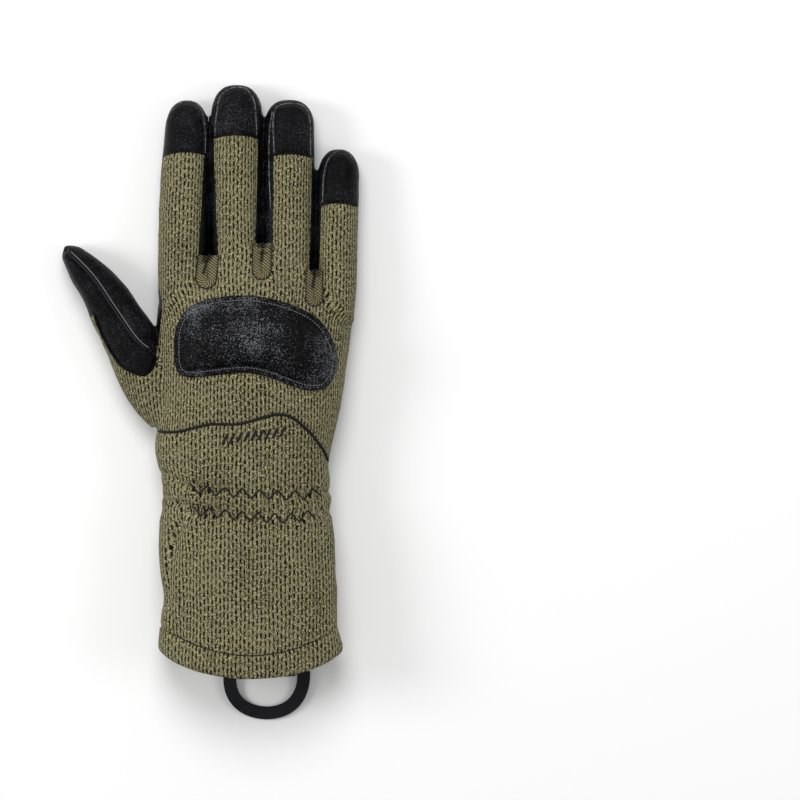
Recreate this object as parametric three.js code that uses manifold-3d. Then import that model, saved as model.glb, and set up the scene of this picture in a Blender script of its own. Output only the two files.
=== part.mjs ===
// Firefighter glove for the right hand, lying palm down: knitted back and long cuff, leather palm.
// Millimetres, +Z up. The fingers point along +Y and the thumb along -X.
import * as THREE from "three";
import { mergeVertices } from "three/addons/utils/BufferGeometryUtils.js";
import Module from "manifold-3d";

const wasm = await Module();
wasm.setup();

// Driving dimensions: lengths along the hand
const cuffLength = 107;
const handLength = 110;
const fingerLength = 83;
const fingerTipLength = 15;
const fingerRootLength = 42;
const capLength = 28.5;

// Driving dimensions: widths and heights of the filled-out form
const cuffWidth = 90;
const cuffHeight = 44;
const handHeight = 38;
const fingerWidth = 26;
const fingerHeight = 22;
const fingerGap = 0.9;
const thumbLength = 101;
const thumbWidth = 28;
const thumbHeight = 24;
const thumbTurn = 33;
const thumbRoot = { x: -38.8, y: 134 };

// Driving dimensions: walls, seams and trim
const wall = 2;
const seamGap = 0.3;
const seamHeight = 9;
const pressedFlat = 1.2;
const gatherDepth = 0.9;
const cuffFoldDepth = 1.4;
const hemWidth = 12.5;
const hemRise = 16;
const knuckleRise = 34;
const fourchetteDip = 2.55;
const fourchetteReach = 4.6;
const gussetWidth = 8;
const gussetLength = 15;
const palmHemWidth = 6.5;
const palmHemDrop = 21;
const guardThickness = 4.6;
const guardEdgeThickness = 1.5;
const guardEdgeWidth = 4;
const guardShoulderWidth = 2;
const pipingWidth = 1.8;
const pipingStart = -0.87;
const strapLength = 77.5;
const strapWidth = 30;
const strapThickness = 1.5;
const strapCentre = 7.5;
const strapStart = 1.2;
const strapTurn = 3.5;
const loopDrop = 19.5;
const loopSpan = 37.3;
const loopWebbing = 6.5;
const loopThickness = 1.6;

// The fingers from the thumb side: shares of fingerWidth, of fingerLength past the knuckle line, of
// capLength, and of fourchetteReach for how far the two side strips reach onto the finger's back
const fingerShares = [
  { name: "index", wide: 0.977, long: 0.904, capped: 0.965, thumbStrip: 0, littleStrip: 0.8 },
  { name: "middle", wide: 1.0, long: 1.0, capped: 0.947, thumbStrip: 0.7, littleStrip: 0.7 },
  { name: "ring", wide: 0.985, long: 0.904, capped: 1.0, thumbStrip: 1.0, littleStrip: 0.65 },
  { name: "little", wide: 0.785, long: 0.608, capped: 1.0, thumbStrip: 0.65, littleStrip: 0 },
];
const fingers = fingerShares.map((share) => ({
  name: share.name,
  width: share.wide * fingerWidth,
  length: share.long * fingerLength,
  cap: share.capped * capLength,
  strips: { [-1]: share.thumbStrip * fourchetteReach, [1]: share.littleStrip * fourchetteReach },
}));

const palmWidth = fingers.reduce((sum, f) => sum + f.width, 0) + 3 * fingerGap;
const knuckleLine = cuffLength + handLength;
const indexEdge = -0.475 * palmWidth;
const strapClearance = strapThickness + seamGap;

let edge = indexEdge;
for (const finger of fingers) {
  finger.centre = edge + finger.width / 2;
  finger.tip = knuckleLine + finger.length;
  edge += finger.width + fingerGap;
}

// Sections of the cuff. at: share of cuffLength from the hem. thumbSide, littleSide: shares of
// half the cuffWidth. top: share of cuffHeight. lift: share of strapClearance under the section.
// gather: share of gatherDepth. fold: share of cuffFoldDepth.
const cuffSections = [
  { at: -0.03, thumbSide: 0.985, littleSide: 1.01, top: 1.0, lift: 1, fold: 0.3 },
  { at: 0.16, thumbSide: 1.028, littleSide: 1.012, top: 0.99, lift: 1, fold: 0.4 },
  { at: 0.26, thumbSide: 1.02, littleSide: 0.955, top: 0.97, lift: 1, fold: 0.7 },
  { at: 0.38, thumbSide: 0.99, littleSide: 0.962, top: 0.96, lift: 1, fold: 1 },
  { at: 0.56, thumbSide: 1.03, littleSide: 0.935, top: 0.93, lift: 1, fold: 1 },
  { at: 0.71, thumbSide: 1.032, littleSide: 0.918, top: 0.89, lift: 1, fold: 0.6 },
  { at: 0.77, thumbSide: 1.022, littleSide: 0.9, top: 0.86, lift: 0.7, gather: 0.5 },
  { at: 0.81, thumbSide: 1.0, littleSide: 0.878, top: 0.81, lift: 0.5, gather: 1 },
  { at: 0.855, thumbSide: 1.012, littleSide: 0.89, top: 0.84, lift: 0.2, gather: 0.6 },
  { at: 0.9, thumbSide: 0.995, littleSide: 0.872, top: 0.79, lift: 0, gather: 1 },
  { at: 0.95, thumbSide: 1.01, littleSide: 0.874, top: 0.82, lift: -0.4, gather: 0.4 },
];

// Sections of the hand. at: share of handLength from the wrist. thumbSide, littleSide: shares of
// half the palmWidth. top: share of handHeight. widest: how high up the section it is widest.
const handSections = [
  { at: 0.0, thumbSide: 0.93, littleSide: 0.777, top: 0.95, widest: 0.43 },
  { at: 0.11, thumbSide: 0.97, littleSide: 0.805, top: 0.96, widest: 0.41 },
  { at: 0.22, thumbSide: 0.945, littleSide: 0.86, top: 0.98, widest: 0.38 },
  { at: 0.34, thumbSide: 0.935, littleSide: 0.915, top: 1.0, widest: 0.35 },
  { at: 0.48, thumbSide: 0.935, littleSide: 0.955, top: 0.99, widest: 0.33 },
  { at: 0.6, thumbSide: 0.945, littleSide: 0.985, top: 0.96, widest: 0.31 },
  { at: 0.72, thumbSide: 0.955, littleSide: 1.0, top: 0.89, widest: 0.31 },
  { at: 0.83, thumbSide: 0.955, littleSide: 1.015, top: 0.8, widest: 0.34 },
  { at: 0.93, thumbSide: 0.95, littleSide: 1.035, top: 0.69, widest: 0.38 },
  { at: 1.03, thumbSide: 0.95, littleSide: 1.045, top: 0.6, widest: 0.42 },
];

// Sections of a finger's shaft. at: share of the shaft from its root to where the tip rounds off.
// side: share of half the finger's width. top: share of fingerHeight.
const fingerSections = [
  { at: 0.0, side: 0.64, top: 1.0 },
  { at: 0.12, side: 0.9, top: 1.14 },
  { at: 0.26, side: 0.98, top: 1.12 },
  { at: 0.42, side: 1.0, top: 1.04 },
  { at: 0.66, side: 0.985, top: 0.98 },
  { at: 0.84, side: 0.965, top: 0.94 },
  { at: 1.0, side: 0.93, top: 0.88 },
];

// Steps of a finger's rounded tip, in degrees of a quarter turn, how full the tip is (lower is
// fuller), and how far its end lifts, as a share of the height there
const tipSteps = [28, 54, 76];
const tipFullness = 0.8;
const tipLift = 0.35;
const thumbTipLift = 0.3;

// Sections of the thumb. at: share of thumbLength from its root. outer, inner: shares of
// thumbWidth either side of its axis. top: share of thumbHeight.
const thumbSections = [
  { at: 0.0, outer: 0.5, inner: 0.4, top: 0.92 },
  { at: 0.14, outer: 0.56, inner: 0.48, top: 0.98 },
  { at: 0.28, outer: 0.525, inner: 0.54, top: 1.0 },
  { at: 0.44, outer: 0.44, inner: 0.555, top: 1.0 },
  { at: 0.52, outer: 0.39, inner: 0.54, top: 0.97 },
  { at: 0.6, outer: 0.35, inner: 0.535, top: 0.94 },
  { at: 0.67, outer: 0.3, inner: 0.515, top: 0.9 },
  { at: 0.74, outer: 0.262, inner: 0.485, top: 0.87 },
  { at: 0.825, outer: 0.258, inner: 0.405, top: 0.82 },
  { at: 0.92, outer: 0.19, inner: 0.275, top: 0.72 },
  { at: 0.97, outer: 0.14, inner: 0.17, top: 0.6 },
  { at: 1.0, outer: 0.06, inner: 0.08, top: 0.46 },
];

// Number of corners round a section, outside and inside, and how square its corners are
const bodySides = 32;
const bodyInnerSides = 20;
const fingerSides = 14;
const fingerInnerSides = 10;
const squareness = 2.35;
const widestShare = 0.44;
const arcSteps = 16;
const arcReach = 1.3;

// The soft fold along the thumb side of the cuff's back: where it lies round the section, in degrees
const foldAngle = 141;
const foldSpread = 13;

// Solids from rings, prisms and joins

function toSolid(geometry) {
  geometry.deleteAttribute("normal");
  geometry.deleteAttribute("uv");
  const merged = mergeVertices(geometry, 1e-4);
  return new wasm.Manifold(
    new wasm.Mesh({
      numProp: 3,
      vertProperties: merged.attributes.position.array,
      triVerts: new Uint32Array(merged.index.array),
    }),
  );
}

function toGeometry(solid) {
  const mesh = solid.getMesh();
  const geometry = new THREE.BufferGeometry();
  geometry.setAttribute("position", new THREE.BufferAttribute(mesh.vertProperties, 3));
  geometry.setIndex(new THREE.BufferAttribute(mesh.triVerts, 1));
  const faceted = geometry.toNonIndexed();
  faceted.computeVertexNormals();
  return faceted;
}

// A closed skin over a list of rings with the same number of points, fanned shut at both ends
function loftRings(rings) {
  const sides = rings[0].length;
  const points = rings.flat();
  const faces = [];
  for (let ring = 0; ring + 1 < rings.length; ring++) {
    for (let side = 0; side < sides; side++) {
      const a = ring * sides + side;
      const b = ring * sides + ((side + 1) % sides);
      faces.push(a, b, b + sides, a, b + sides, a + sides);
    }
  }
  const closeEnd = (ring, first, forwards) => {
    const centre = new THREE.Vector3();
    ring.forEach((p) => centre.add(p));
    points.push(centre.divideScalar(sides));
    const hub = points.length - 1;
    for (let side = 0; side < sides; side++) {
      const a = first + side;
      const b = first + ((side + 1) % sides);
      faces.push(...(forwards ? [a, b, hub] : [b, a, hub]));
    }
  };
  closeEnd(rings[0], 0, false);
  closeEnd(rings.at(-1), (rings.length - 1) * sides, true);
  const geometry = new THREE.BufferGeometry().setFromPoints(points);
  geometry.setIndex(faces);
  return toSolid(geometry);
}

// One rounded section: reach to the left and right of a centre, widest at the given share of its
// height, with a gather's ripple all over its upper half and one soft fold
function sectionRing(section) {
  const { centre, left, right, low, high, sides, place } = section;
  const { widest = widestShare, ripple = 0, fold = 0 } = section;
  const middle = low + (high - low) * widest;
  const ring = [];
  for (let side = 0; side < sides; side++) {
    const angle = (2 * Math.PI * side) / sides;
    const across = Math.cos(angle);
    const up = Math.sin(angle);
    const fromFold = (THREE.MathUtils.radToDeg(angle) - foldAngle) / foldSpread;
    const bulge = (side % 2 ? -ripple : ripple) - fold * Math.exp(-fromFold * fromFold);
    const width = (across > 0 ? right : left) + bulge;
    const height = (up > 0 ? high - middle : middle - low) + (up > 0 ? bulge : 0);
    const x = Math.sign(across) * Math.abs(across) ** (2 / squareness) * width;
    const z = Math.sign(up) * Math.abs(up) ** (2 / squareness) * height;
    ring.push(place(centre + x, middle + z));
  }
  return ring;
}

// A plan outline pushed outwards by a distance
function growOutline(points, distance) {
  const outline = THREE.ShapeUtils.isClockWise(points) ? points.toReversed() : points;
  return outline.map((point, i) => {
    const before = outline[(i + outline.length - 1) % outline.length];
    const after = outline[(i + 1) % outline.length];
    const into = point.clone().sub(before).normalize();
    const out = after.clone().sub(point).normalize();
    const normal = new THREE.Vector2(into.y + out.y, -into.x - out.x).normalize();
    const sharpestCorner = 0.4;
    const reach = Math.max(normal.x * into.y - normal.y * into.x, sharpestCorner);
    return point.clone().addScaledVector(normal, distance / reach);
  });
}

function prism(outline, low, high) {
  const geometry = new THREE.ExtrudeGeometry(new THREE.Shape(outline), {
    depth: high - low,
    bevelEnabled: false,
  });
  return toSolid(geometry.translate(0, 0, low));
}

const plan = (...pairs) => pairs.map(([x, y]) => new THREE.Vector2(x, y));

function rectangle(left, right, near, far) {
  return plan([left, near], [right, near], [right, far], [left, far]);
}

// The working space's edges, beyond the glove on every side
const reachX = 2 * palmWidth;
const farY = knuckleLine + 2 * palmWidth;
const nearY = -palmWidth;
const overTop = 2 * cuffHeight;
const under = -cuffHeight;

// The filled-out form: body of hand and cuff, four fingers and a thumb, drawn in by an inset

function bodyRows() {
  const half = palmWidth / 2;
  const cuffRows = cuffSections.map((row) => ({
    y: row.at * cuffLength,
    left: (row.thumbSide * cuffWidth) / 2,
    right: (row.littleSide * cuffWidth) / 2,
    low: row.lift * strapClearance,
    high: row.top * cuffHeight,
    widest: widestShare,
    ripple: (row.gather ?? 0) * gatherDepth,
    fold: (row.fold ?? 0) * cuffFoldDepth,
  }));
  const handRows = handSections.map((row) => ({
    y: cuffLength + row.at * handLength,
    left: row.thumbSide * half,
    right: row.littleSide * half,
    low: -pressedFlat,
    high: row.top * handHeight,
    widest: row.widest,
  }));
  return [...cuffRows, ...handRows];
}

function arcEdge(middleY, rise, halfWidth) {
  const points = [];
  for (let i = 0; i <= arcSteps; i++) {
    const share = arcReach * ((2 * i) / arcSteps - 1);
    points.push(new THREE.Vector2(share * halfWidth, middleY + rise * share ** 2));
  }
  return points;
}

function bodyForm(inset) {
  const rows = bodyRows().filter((row, i) => inset <= 0 || i % 2 === 0);
  const rings = rows.map((row) =>
    sectionRing({
      centre: 0,
      left: row.left - inset,
      right: row.right - inset,
      low: row.low + inset,
      high: row.high - inset,
      widest: row.widest,
      fold: row.fold,
      ripple: inset > 0 ? 0 : row.ripple,
      sides: inset > 0 ? bodyInnerSides : bodySides,
      place: (x, z) => new THREE.Vector3(x, row.y, z),
    }),
  );
  const knuckles = arcEdge(knuckleLine - inset, -knuckleRise, palmWidth / 2);
  const behindKnuckles = prism(
    [...plan([-reachX, nearY], [reachX, nearY]), ...knuckles.reverse()],
    under,
    overTop,
  );
  return loftRings(rings.reverse()).intersect(behindKnuckles);
}

function fingerForm(finger, inset) {
  const root = knuckleLine - fingerRootLength;
  const shaftEnd = finger.tip - fingerTipLength;
  const last = fingerSections.at(-1);
  const rows = fingerSections.map((row) => ({
    y: root + row.at * (shaftEnd - root),
    side: (row.side * finger.width) / 2 - inset,
    low: inset - pressedFlat,
    high: row.top * fingerHeight - inset,
  }));
  for (const degrees of tipSteps) {
    const turn = THREE.MathUtils.degToRad(degrees);
    const shrink = Math.cos(turn) ** tipFullness;
    const lowest = inset - pressedFlat + (1 - shrink) * tipLift * fingerHeight;
    rows.push({
      y: shaftEnd + Math.sin(turn) * (fingerTipLength - inset),
      side: ((last.side * finger.width) / 2 - inset) * shrink,
      low: lowest,
      high: lowest + (last.top * fingerHeight + pressedFlat - 2 * inset) * shrink,
    });
  }
  const rings = rows.map((row) =>
    sectionRing({
      centre: finger.centre,
      left: row.side,
      right: row.side,
      low: row.low,
      high: row.high,
      sides: inset ? fingerInnerSides : fingerSides,
      place: (x, z) => new THREE.Vector3(x, row.y, z),
    }),
  );
  return loftRings(rings.reverse());
}

// A point of the thumb's own plan, turned out from its root to where the thumb lies
function thumbPoint(across, along) {
  const turn = THREE.MathUtils.degToRad(thumbTurn);
  return new THREE.Vector2(
    thumbRoot.x - along * Math.sin(turn) + across * Math.cos(turn),
    thumbRoot.y + along * Math.cos(turn) + across * Math.sin(turn),
  );
}

function thumbForm(inset) {
  const rings = thumbSections
    .filter((row) => !inset || row.outer * thumbWidth > inset + seamGap)
    .map((row) =>
      sectionRing({
        centre: 0,
        left: row.outer * thumbWidth - inset,
        right: row.inner * thumbWidth - inset,
        low: inset - pressedFlat + (1 - row.top) * thumbTipLift * thumbHeight,
        high: row.top * thumbHeight - inset,
        sides: inset ? fingerInnerSides : fingerSides,
        place: (across, z) => {
          const p = thumbPoint(across, row.at * thumbLength);
          return new THREE.Vector3(p.x, p.y, z);
        },
      }),
    );
  return loftRings(rings.reverse());
}

function gloveForm(inset, floor) {
  let form = bodyForm(inset).add(thumbForm(inset));
  for (const finger of fingers) form = form.add(fingerForm(finger, inset));
  const aboveFloor = prism(rectangle(-reachX, reachX, nearY, farY), floor, overTop);
  return form.intersect(aboveFloor);
}

// The hem runs further down in the middle than at its sides
const cuffHalf = cuffWidth / 2;
const beyondHem = prism(
  [
    ...arcEdge(0, hemRise, cuffHalf),
    ...plan([reachX, hemRise], [reachX, farY], [-reachX, farY], [-reachX, hemRise]),
  ],
  under,
  overTop,
);

let cloth = gloveForm(0, 0).subtract(gloveForm(wall, wall)).intersect(beyondHem);

const glove = new THREE.Group();
const finishes = {
  knit: { color: 0x6b6349, roughness: 0.92, metalness: 0 },
  leather: { color: 0x15161a, roughness: 0.48, metalness: 0 },
  felt: { color: 0x17181c, roughness: 0.95, metalness: 0 },
  webbing: { color: 0x121215, roughness: 0.8, metalness: 0 },
};

// The main body of a cut, without the off-cuts that a blade leaves where it runs along a face
function mainBody(solid) {
  return solid.decompose().reduce((most, body) => (body.volume() > most.volume() ? body : most));
}

function addPiece(name, finish, solid) {
  const mesh = new THREE.Mesh(toGeometry(solid), new THREE.MeshStandardMaterial(finishes[finish]));
  mesh.name = name;
  glove.add(mesh);
}

// Cuts one panel out of what is left of the cloth, and trims the rest back by the seam's gap
function cutPanel(name, finish, outline, low = under, high = overTop) {
  addPiece(name, finish, mainBody(cloth.intersect(prism(outline, low, high))));
  const trim = prism(growOutline(outline, seamGap), low - seamGap, high + seamGap);
  cloth = cloth.subtract(trim);
}

// Finger crotches, worked out from the line that the body of the hand ends on
const crotchY = (x) => knuckleLine - knuckleRise * (x / (palmWidth / 2)) ** 2;
const crotches = fingers.slice(1).map((finger, i) => {
  const x = finger.centre - finger.width / 2 - fingerGap / 2;
  return { x, y: crotchY(x), name: fingers[i].name + "_" + finger.name };
});

const gussetFootShare = 0.45;
for (const crotch of crotches) {
  const half = gussetWidth / 2;
  const foot = crotch.y - gussetLength;
  const outline = plan(
    [crotch.x - half * gussetFootShare, foot],
    [crotch.x + half * gussetFootShare, foot],
    [crotch.x + half, foot + half],
    [crotch.x + half, crotch.y + half],
    [crotch.x - half, crotch.y + half],
    [crotch.x - half, foot + half],
  );
  cutPanel(crotch.name + "_gusset", "knit", outline);
}

// Fourchettes: strips on the sides of the fingers that face each other, seen from above as a dark
// edge on each finger's back. They end where the tip is half rounded off.
const fourchetteEnd = 0.7;
fingers.forEach((finger, i) => {
  const strip = (crotch, side, name) => {
    const outer = finger.centre + side * (finger.width / 2 + fingerGap / 2);
    const inner = finger.centre + side * (finger.width / 2 - finger.strips[side]);
    const outline = rectangle(
      Math.min(inner, outer),
      Math.max(inner, outer),
      crotch.y + gussetWidth / 2 + seamGap,
      finger.tip - fingerTipLength * fourchetteEnd,
    );
    cutPanel(name, "leather", outline, seamHeight - fourchetteDip);
  };
  const base = finger.name + "_fourchette";
  const inner = i > 0 && i < 3;
  if (i > 0) strip(crotches[i - 1], -1, inner ? `${base}_${fingers[i - 1].name}_side` : base);
  if (i < 3) strip(crotches[i], 1, inner ? `${base}_${fingers[i + 1].name}_side` : base);
});

for (const finger of fingers) {
  const half = (finger.width + fingerGap) / 2;
  const outline = rectangle(
    finger.centre - half,
    finger.centre + half,
    finger.tip - finger.cap,
    finger.tip + seamGap,
  );
  cutPanel(finger.name + "_cap", "leather", outline, seamHeight);
}

// The thumb's leather: shares of thumbWidth across its axis and of thumbLength along it
const thumbPlan = (...pairs) =>
  pairs.map(([across, along]) => thumbPoint(across * thumbWidth, along * thumbLength));

const thumbSeam = thumbPlan([0.36, 0.31], [0.27, 0.345], [0.2, 0.406], [0.17, 0.6], [0.15, 0.8], [0, 1]);
const thumbBack = [
  ...thumbSeam,
  ...thumbPlan(
    [-0.1, 1.04],
    [-0.8, 1.04],
    [-0.8, 0.633],
    [-0.235, 0.633],
    [-0.3, 0.55],
    [-0.344, 0.43],
    [-0.327, 0.346],
    [-0.2, 0.281],
    [-0.054, 0.242],
    [0.17, 0.256],
  ),
];
const thumbInner = [
  ...thumbPlan([0.53, 0.4], [0.66, 0.46], [0.8, 0.6], [0.8, 1.04], [-0.1, 1.04]),
  ...thumbSeam.toReversed(),
];
cutPanel("thumb_fourchette", "leather", thumbInner, seamHeight);
cutPanel("thumb_back_panel", "leather", thumbBack, seamHeight);

// Undersides: the ball of the thumb, then the palm with the finger fronts, then the palm's hem.
// The palm's seam along the ball: shares of palmWidth and of handLength from the wrist.
const palmHemNear = cuffLength - palmHemDrop;
const palmHemFar = palmHemNear + palmHemWidth;
const palmSeam = [
  { x: -0.4785, at: 0.626 },
  { x: -0.333, at: 0.507 },
  { x: -0.292, at: 0.397 },
  { x: -0.287, at: 0.218 },
  { x: -0.313, at: 0.045 },
  { x: -0.318, at: -0.09 },
].map((p) => new THREE.Vector2(p.x * palmWidth, cuffLength + p.at * handLength));
const leatherEdge = thumbPlan(
  [-0.56, -0.336],
  [-0.446, -0.25],
  [-0.38, -0.12],
  [-0.375, 0.0],
  [-0.39, 0.108],
  [-0.44, 0.205],
  [-0.243, 0.354],
  [-0.104, 0.449],
  [-0.03, 0.596],
  [-0.8, 0.62],
  [-0.8, 1.04],
  [0.8, 1.04],
  [0.8, 0.6],
  [0.66, 0.46],
);
cutPanel("thumb_palm_panel", "leather", [...palmSeam, ...leatherEdge], under, seamHeight);

const palmLeft = -palmWidth / 2 - wall;
const palmHemLeft = palmSeam.at(-1).x;
const palmOutline = [
  ...plan([palmHemLeft, palmHemFar], [reachX, palmHemFar], [reachX, farY], [palmLeft, farY]),
  ...plan([palmLeft, palmSeam[0].y + wall]),
  ...palmSeam,
];
cutPanel("palm_panel", "leather", palmOutline, under, seamHeight);
const palmHemRightShare = 0.36;
cutPanel(
  "palm_hem",
  "leather",
  rectangle(palmHemLeft, palmHemRightShare * palmWidth, palmHemNear, palmHemFar - seamGap),
  under,
  seamHeight,
);

// The wrist seam on the back: shares of half the palmWidth and of handLength from the wrist
const wristSeam = [
  { x: -2, at: 0.17 },
  { x: -1.0, at: 0.17 },
  { x: -0.77, at: 0.165 },
  { x: -0.39, at: 0.2 },
  { x: -0.14, at: 0.2 },
  { x: 0.3, at: 0.245 },
  { x: 0.46, at: 0.215 },
  { x: 0.71, at: 0.09 },
  { x: 0.79, at: -0.01 },
  { x: 2, at: -0.08 },
].map((p) => new THREE.Vector2((p.x * palmWidth) / 2, cuffLength + p.at * handLength));
cutPanel("back_panel", "knit", [...wristSeam, ...plan([reachX, farY], [-reachX, farY])]);

const hemSeamRise = 0.88 * hemRise;
const hemSeam = arcEdge(hemWidth, hemSeamRise, cuffHalf);
cutPanel("cuff_hem", "knit", [
  ...plan([-reachX, nearY], [reachX, nearY], [reachX, hemWidth + hemRise]),
  ...hemSeam.toReversed(),
  ...plan([-reachX, hemWidth + hemRise]),
]);
addPiece("cuff", "knit", mainBody(cloth));

// Height of the back's outer face over a point of the plan
function backHeight(x, y) {
  const rows = bodyRows();
  const next = Math.max(rows.findIndex((row) => row.y > y), 1);
  const [a, b] = [rows[next - 1], rows[next]];
  const share = (y - a.y) / (b.y - a.y);
  const mix = (key) => a[key] + (b[key] - a[key]) * share;
  const half = x > 0 ? mix("right") : mix("left");
  const middle = mix("low") + (mix("high") - mix("low")) * mix("widest");
  const across = Math.min(Math.abs(x) / half, 0.99);
  return middle + (mix("high") - middle) * (1 - across ** squareness) ** (1 / squareness);
}

// What lies on the back keeps the seam's gap to it
const seatOnBack = (solid) => solid.subtract(bodyForm(-seamGap));

// A pad lying on the back: rings of its outline shrunk towards the centre, each at its own height
function drapedPad(outline, rows) {
  const centre = new THREE.Vector2();
  outline.forEach((p) => centre.add(p));
  centre.divideScalar(outline.length);
  const ringAt = (shrink, lift) =>
    outline.map((p) => {
      const q = p.clone().lerp(centre, shrink);
      return new THREE.Vector3(q.x, q.y, backHeight(q.x, q.y) + lift);
    });
  const sunk = ringAt(0, -wall);
  const above = rows.map((row) => ringAt(row.shrink, seamGap + row.lift));
  return seatOnBack(loftRings([sunk, ...above]));
}

// The knuckle guard's outline: shares of half the palmWidth and of handLength from the wrist
const guardCurve = new THREE.SplineCurve(
  [
    { x: -0.775, at: 0.53 },
    { x: -0.655, at: 0.42 },
    { x: 0.0, at: 0.432 },
    { x: 0.6, at: 0.352 },
    { x: 0.76, at: 0.37 },
    { x: 0.865, at: 0.46 },
    { x: 0.83, at: 0.57 },
    { x: 0.645, at: 0.69 },
    { x: 0.02, at: 0.785 },
    { x: -0.58, at: 0.745 },
    { x: -0.74, at: 0.66 },
    { x: -0.775, at: 0.53 },
  ].map((p) => new THREE.Vector2((p.x * palmWidth) / 2, cuffLength + p.at * handLength)),
);
const guardCorners = 30;
const guardOutline = guardCurve.getSpacedPoints(guardCorners).slice(0, -1);
const guardReach = 0.3 * handLength;
addPiece(
  "knuckle_guard",
  "leather",
  drapedPad(guardOutline, [
    { shrink: 0, lift: guardEdgeThickness },
    { shrink: guardEdgeWidth / guardReach, lift: guardEdgeThickness },
    { shrink: (guardEdgeWidth + guardShoulderWidth) / guardReach, lift: 0.7 * guardThickness },
    { shrink: 0.45, lift: 0.95 * guardThickness },
    { shrink: 0.85, lift: guardThickness },
  ]),
);

// Piping over the wrist seam, a thin strip with a flat underside
const pipingSteps = 28;
const pipingTension = 0.2;
const pipingPath = wristSeam.slice(1, -1).map((p) => p.clone());
pipingPath[0].x = (pipingStart * palmWidth) / 2;
const pipingRings = [];
new THREE.CatmullRomCurve3(
  pipingPath.map((p) => new THREE.Vector3(p.x, p.y, 0)),
  false,
  "catmullrom",
  pipingTension,
)
  .getSpacedPoints(pipingSteps)
  .forEach((p) => {
    const half = pipingWidth / 2;
    const z = (y) => backHeight(p.x, y) + seamGap;
    const sunk = pipingWidth;
    pipingRings.push([
      new THREE.Vector3(p.x, p.y - half, z(p.y - half) - sunk),
      new THREE.Vector3(p.x, p.y - half / 2, z(p.y) + half),
      new THREE.Vector3(p.x, p.y + half / 2, z(p.y) + half),
      new THREE.Vector3(p.x, p.y + half, z(p.y + half) - sunk),
    ]);
  });
addPiece("wrist_piping", "leather", mainBody(seatOnBack(loftRings(pipingRings.reverse()))));

// Strap patch under the cuff, round at its far end and slightly turned
const strapHalf = strapWidth / 2;
const strapFoot = 0.94 * strapHalf;
const strapFlat = 0.4 * strapHalf;
const strapShoulder = 0.9 * strapLength;
const strapShape = new THREE.Shape();
strapShape.moveTo(-strapFoot, 0);
strapShape.lineTo(strapFoot, 0);
strapShape.lineTo(strapHalf, strapShoulder);
strapShape.quadraticCurveTo(strapHalf, strapLength, strapFlat, strapLength);
strapShape.lineTo(-strapFlat, strapLength);
strapShape.quadraticCurveTo(-strapHalf, strapLength, -strapHalf, strapShoulder);
const strap = new THREE.ExtrudeGeometry(strapShape, {
  depth: strapThickness,
  bevelEnabled: false,
  curveSegments: 6,
});
strap.rotateZ(THREE.MathUtils.degToRad(strapTurn)).translate(strapCentre, strapStart, 0);
addPiece("strap_patch", "felt", toSolid(strap));

// Pull loop: flat webbing that leaves the hem's edge and lies down on the surface
const hemEdge = (x) => hemRise * (x / cuffHalf) ** 2;
const loopMiddle = strapCentre;
const loopPoints = [];
const loopSteps = 20;
const loopFullness = 0.8;
const loopHemGap = 1.5 * seamGap;
for (let i = 0; i <= loopSteps; i++) {
  const turn = (Math.PI * i) / loopSteps;
  const x = loopMiddle + (Math.cos(turn) * loopSpan) / 2;
  const drop = Math.sin(turn) ** loopFullness;
  const start = hemEdge(x) * (1 - drop) - seamGap;
  const rest = loopThickness / 2;
  const atHem = strapClearance + wall / 2;
  loopPoints.push(
    new THREE.Vector3(x, start - drop * (loopDrop - loopWebbing / 2), rest + (atHem - rest) * (1 - drop)),
  );
}
const loopRings = loopPoints.map((p, i) => {
  const before = loopPoints[Math.max(i - 1, 0)];
  const after = loopPoints[Math.min(i + 1, loopSteps)];
  const along = after.clone().sub(before).setZ(0).normalize();
  if (i === 0 || i === loopSteps) along.set(0, i ? 1 : -1, 0);
  const side = new THREE.Vector3(-along.y, along.x, 0).multiplyScalar(loopWebbing / 2);
  const up = new THREE.Vector3(0, 0, loopThickness / 2);
  const ring = [
    p.clone().sub(side).sub(up),
    p.clone().add(side).sub(up),
    p.clone().add(side).add(up),
    p.clone().sub(side).add(up),
  ];
  for (const q of ring) q.y = Math.min(q.y, hemEdge(q.x) - loopHemGap);
  return ring;
});
addPiece("pull_loop", "webbing", loftRings(loopRings));

// The origin is the middle of the glove's plan, on the surface that it lies on
const box = new THREE.Box3().setFromObject(glove);
const centre = box.getCenter(new THREE.Vector3());
glove.position.set(-centre.x, -centre.y, -box.min.z);

export default glove;
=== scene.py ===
"""Firefighter glove for the right hand, lying palm down: knitted back and long cuff, leather palm.

The glove is laid out in millimetres, fingers along +Y and thumb along -X, and scaled to metres
where its meshes are made.
"""

import math

import bmesh
import bpy
import numpy as np
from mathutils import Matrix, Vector, noise
from mathutils.bvhtree import BVHTree


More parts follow.
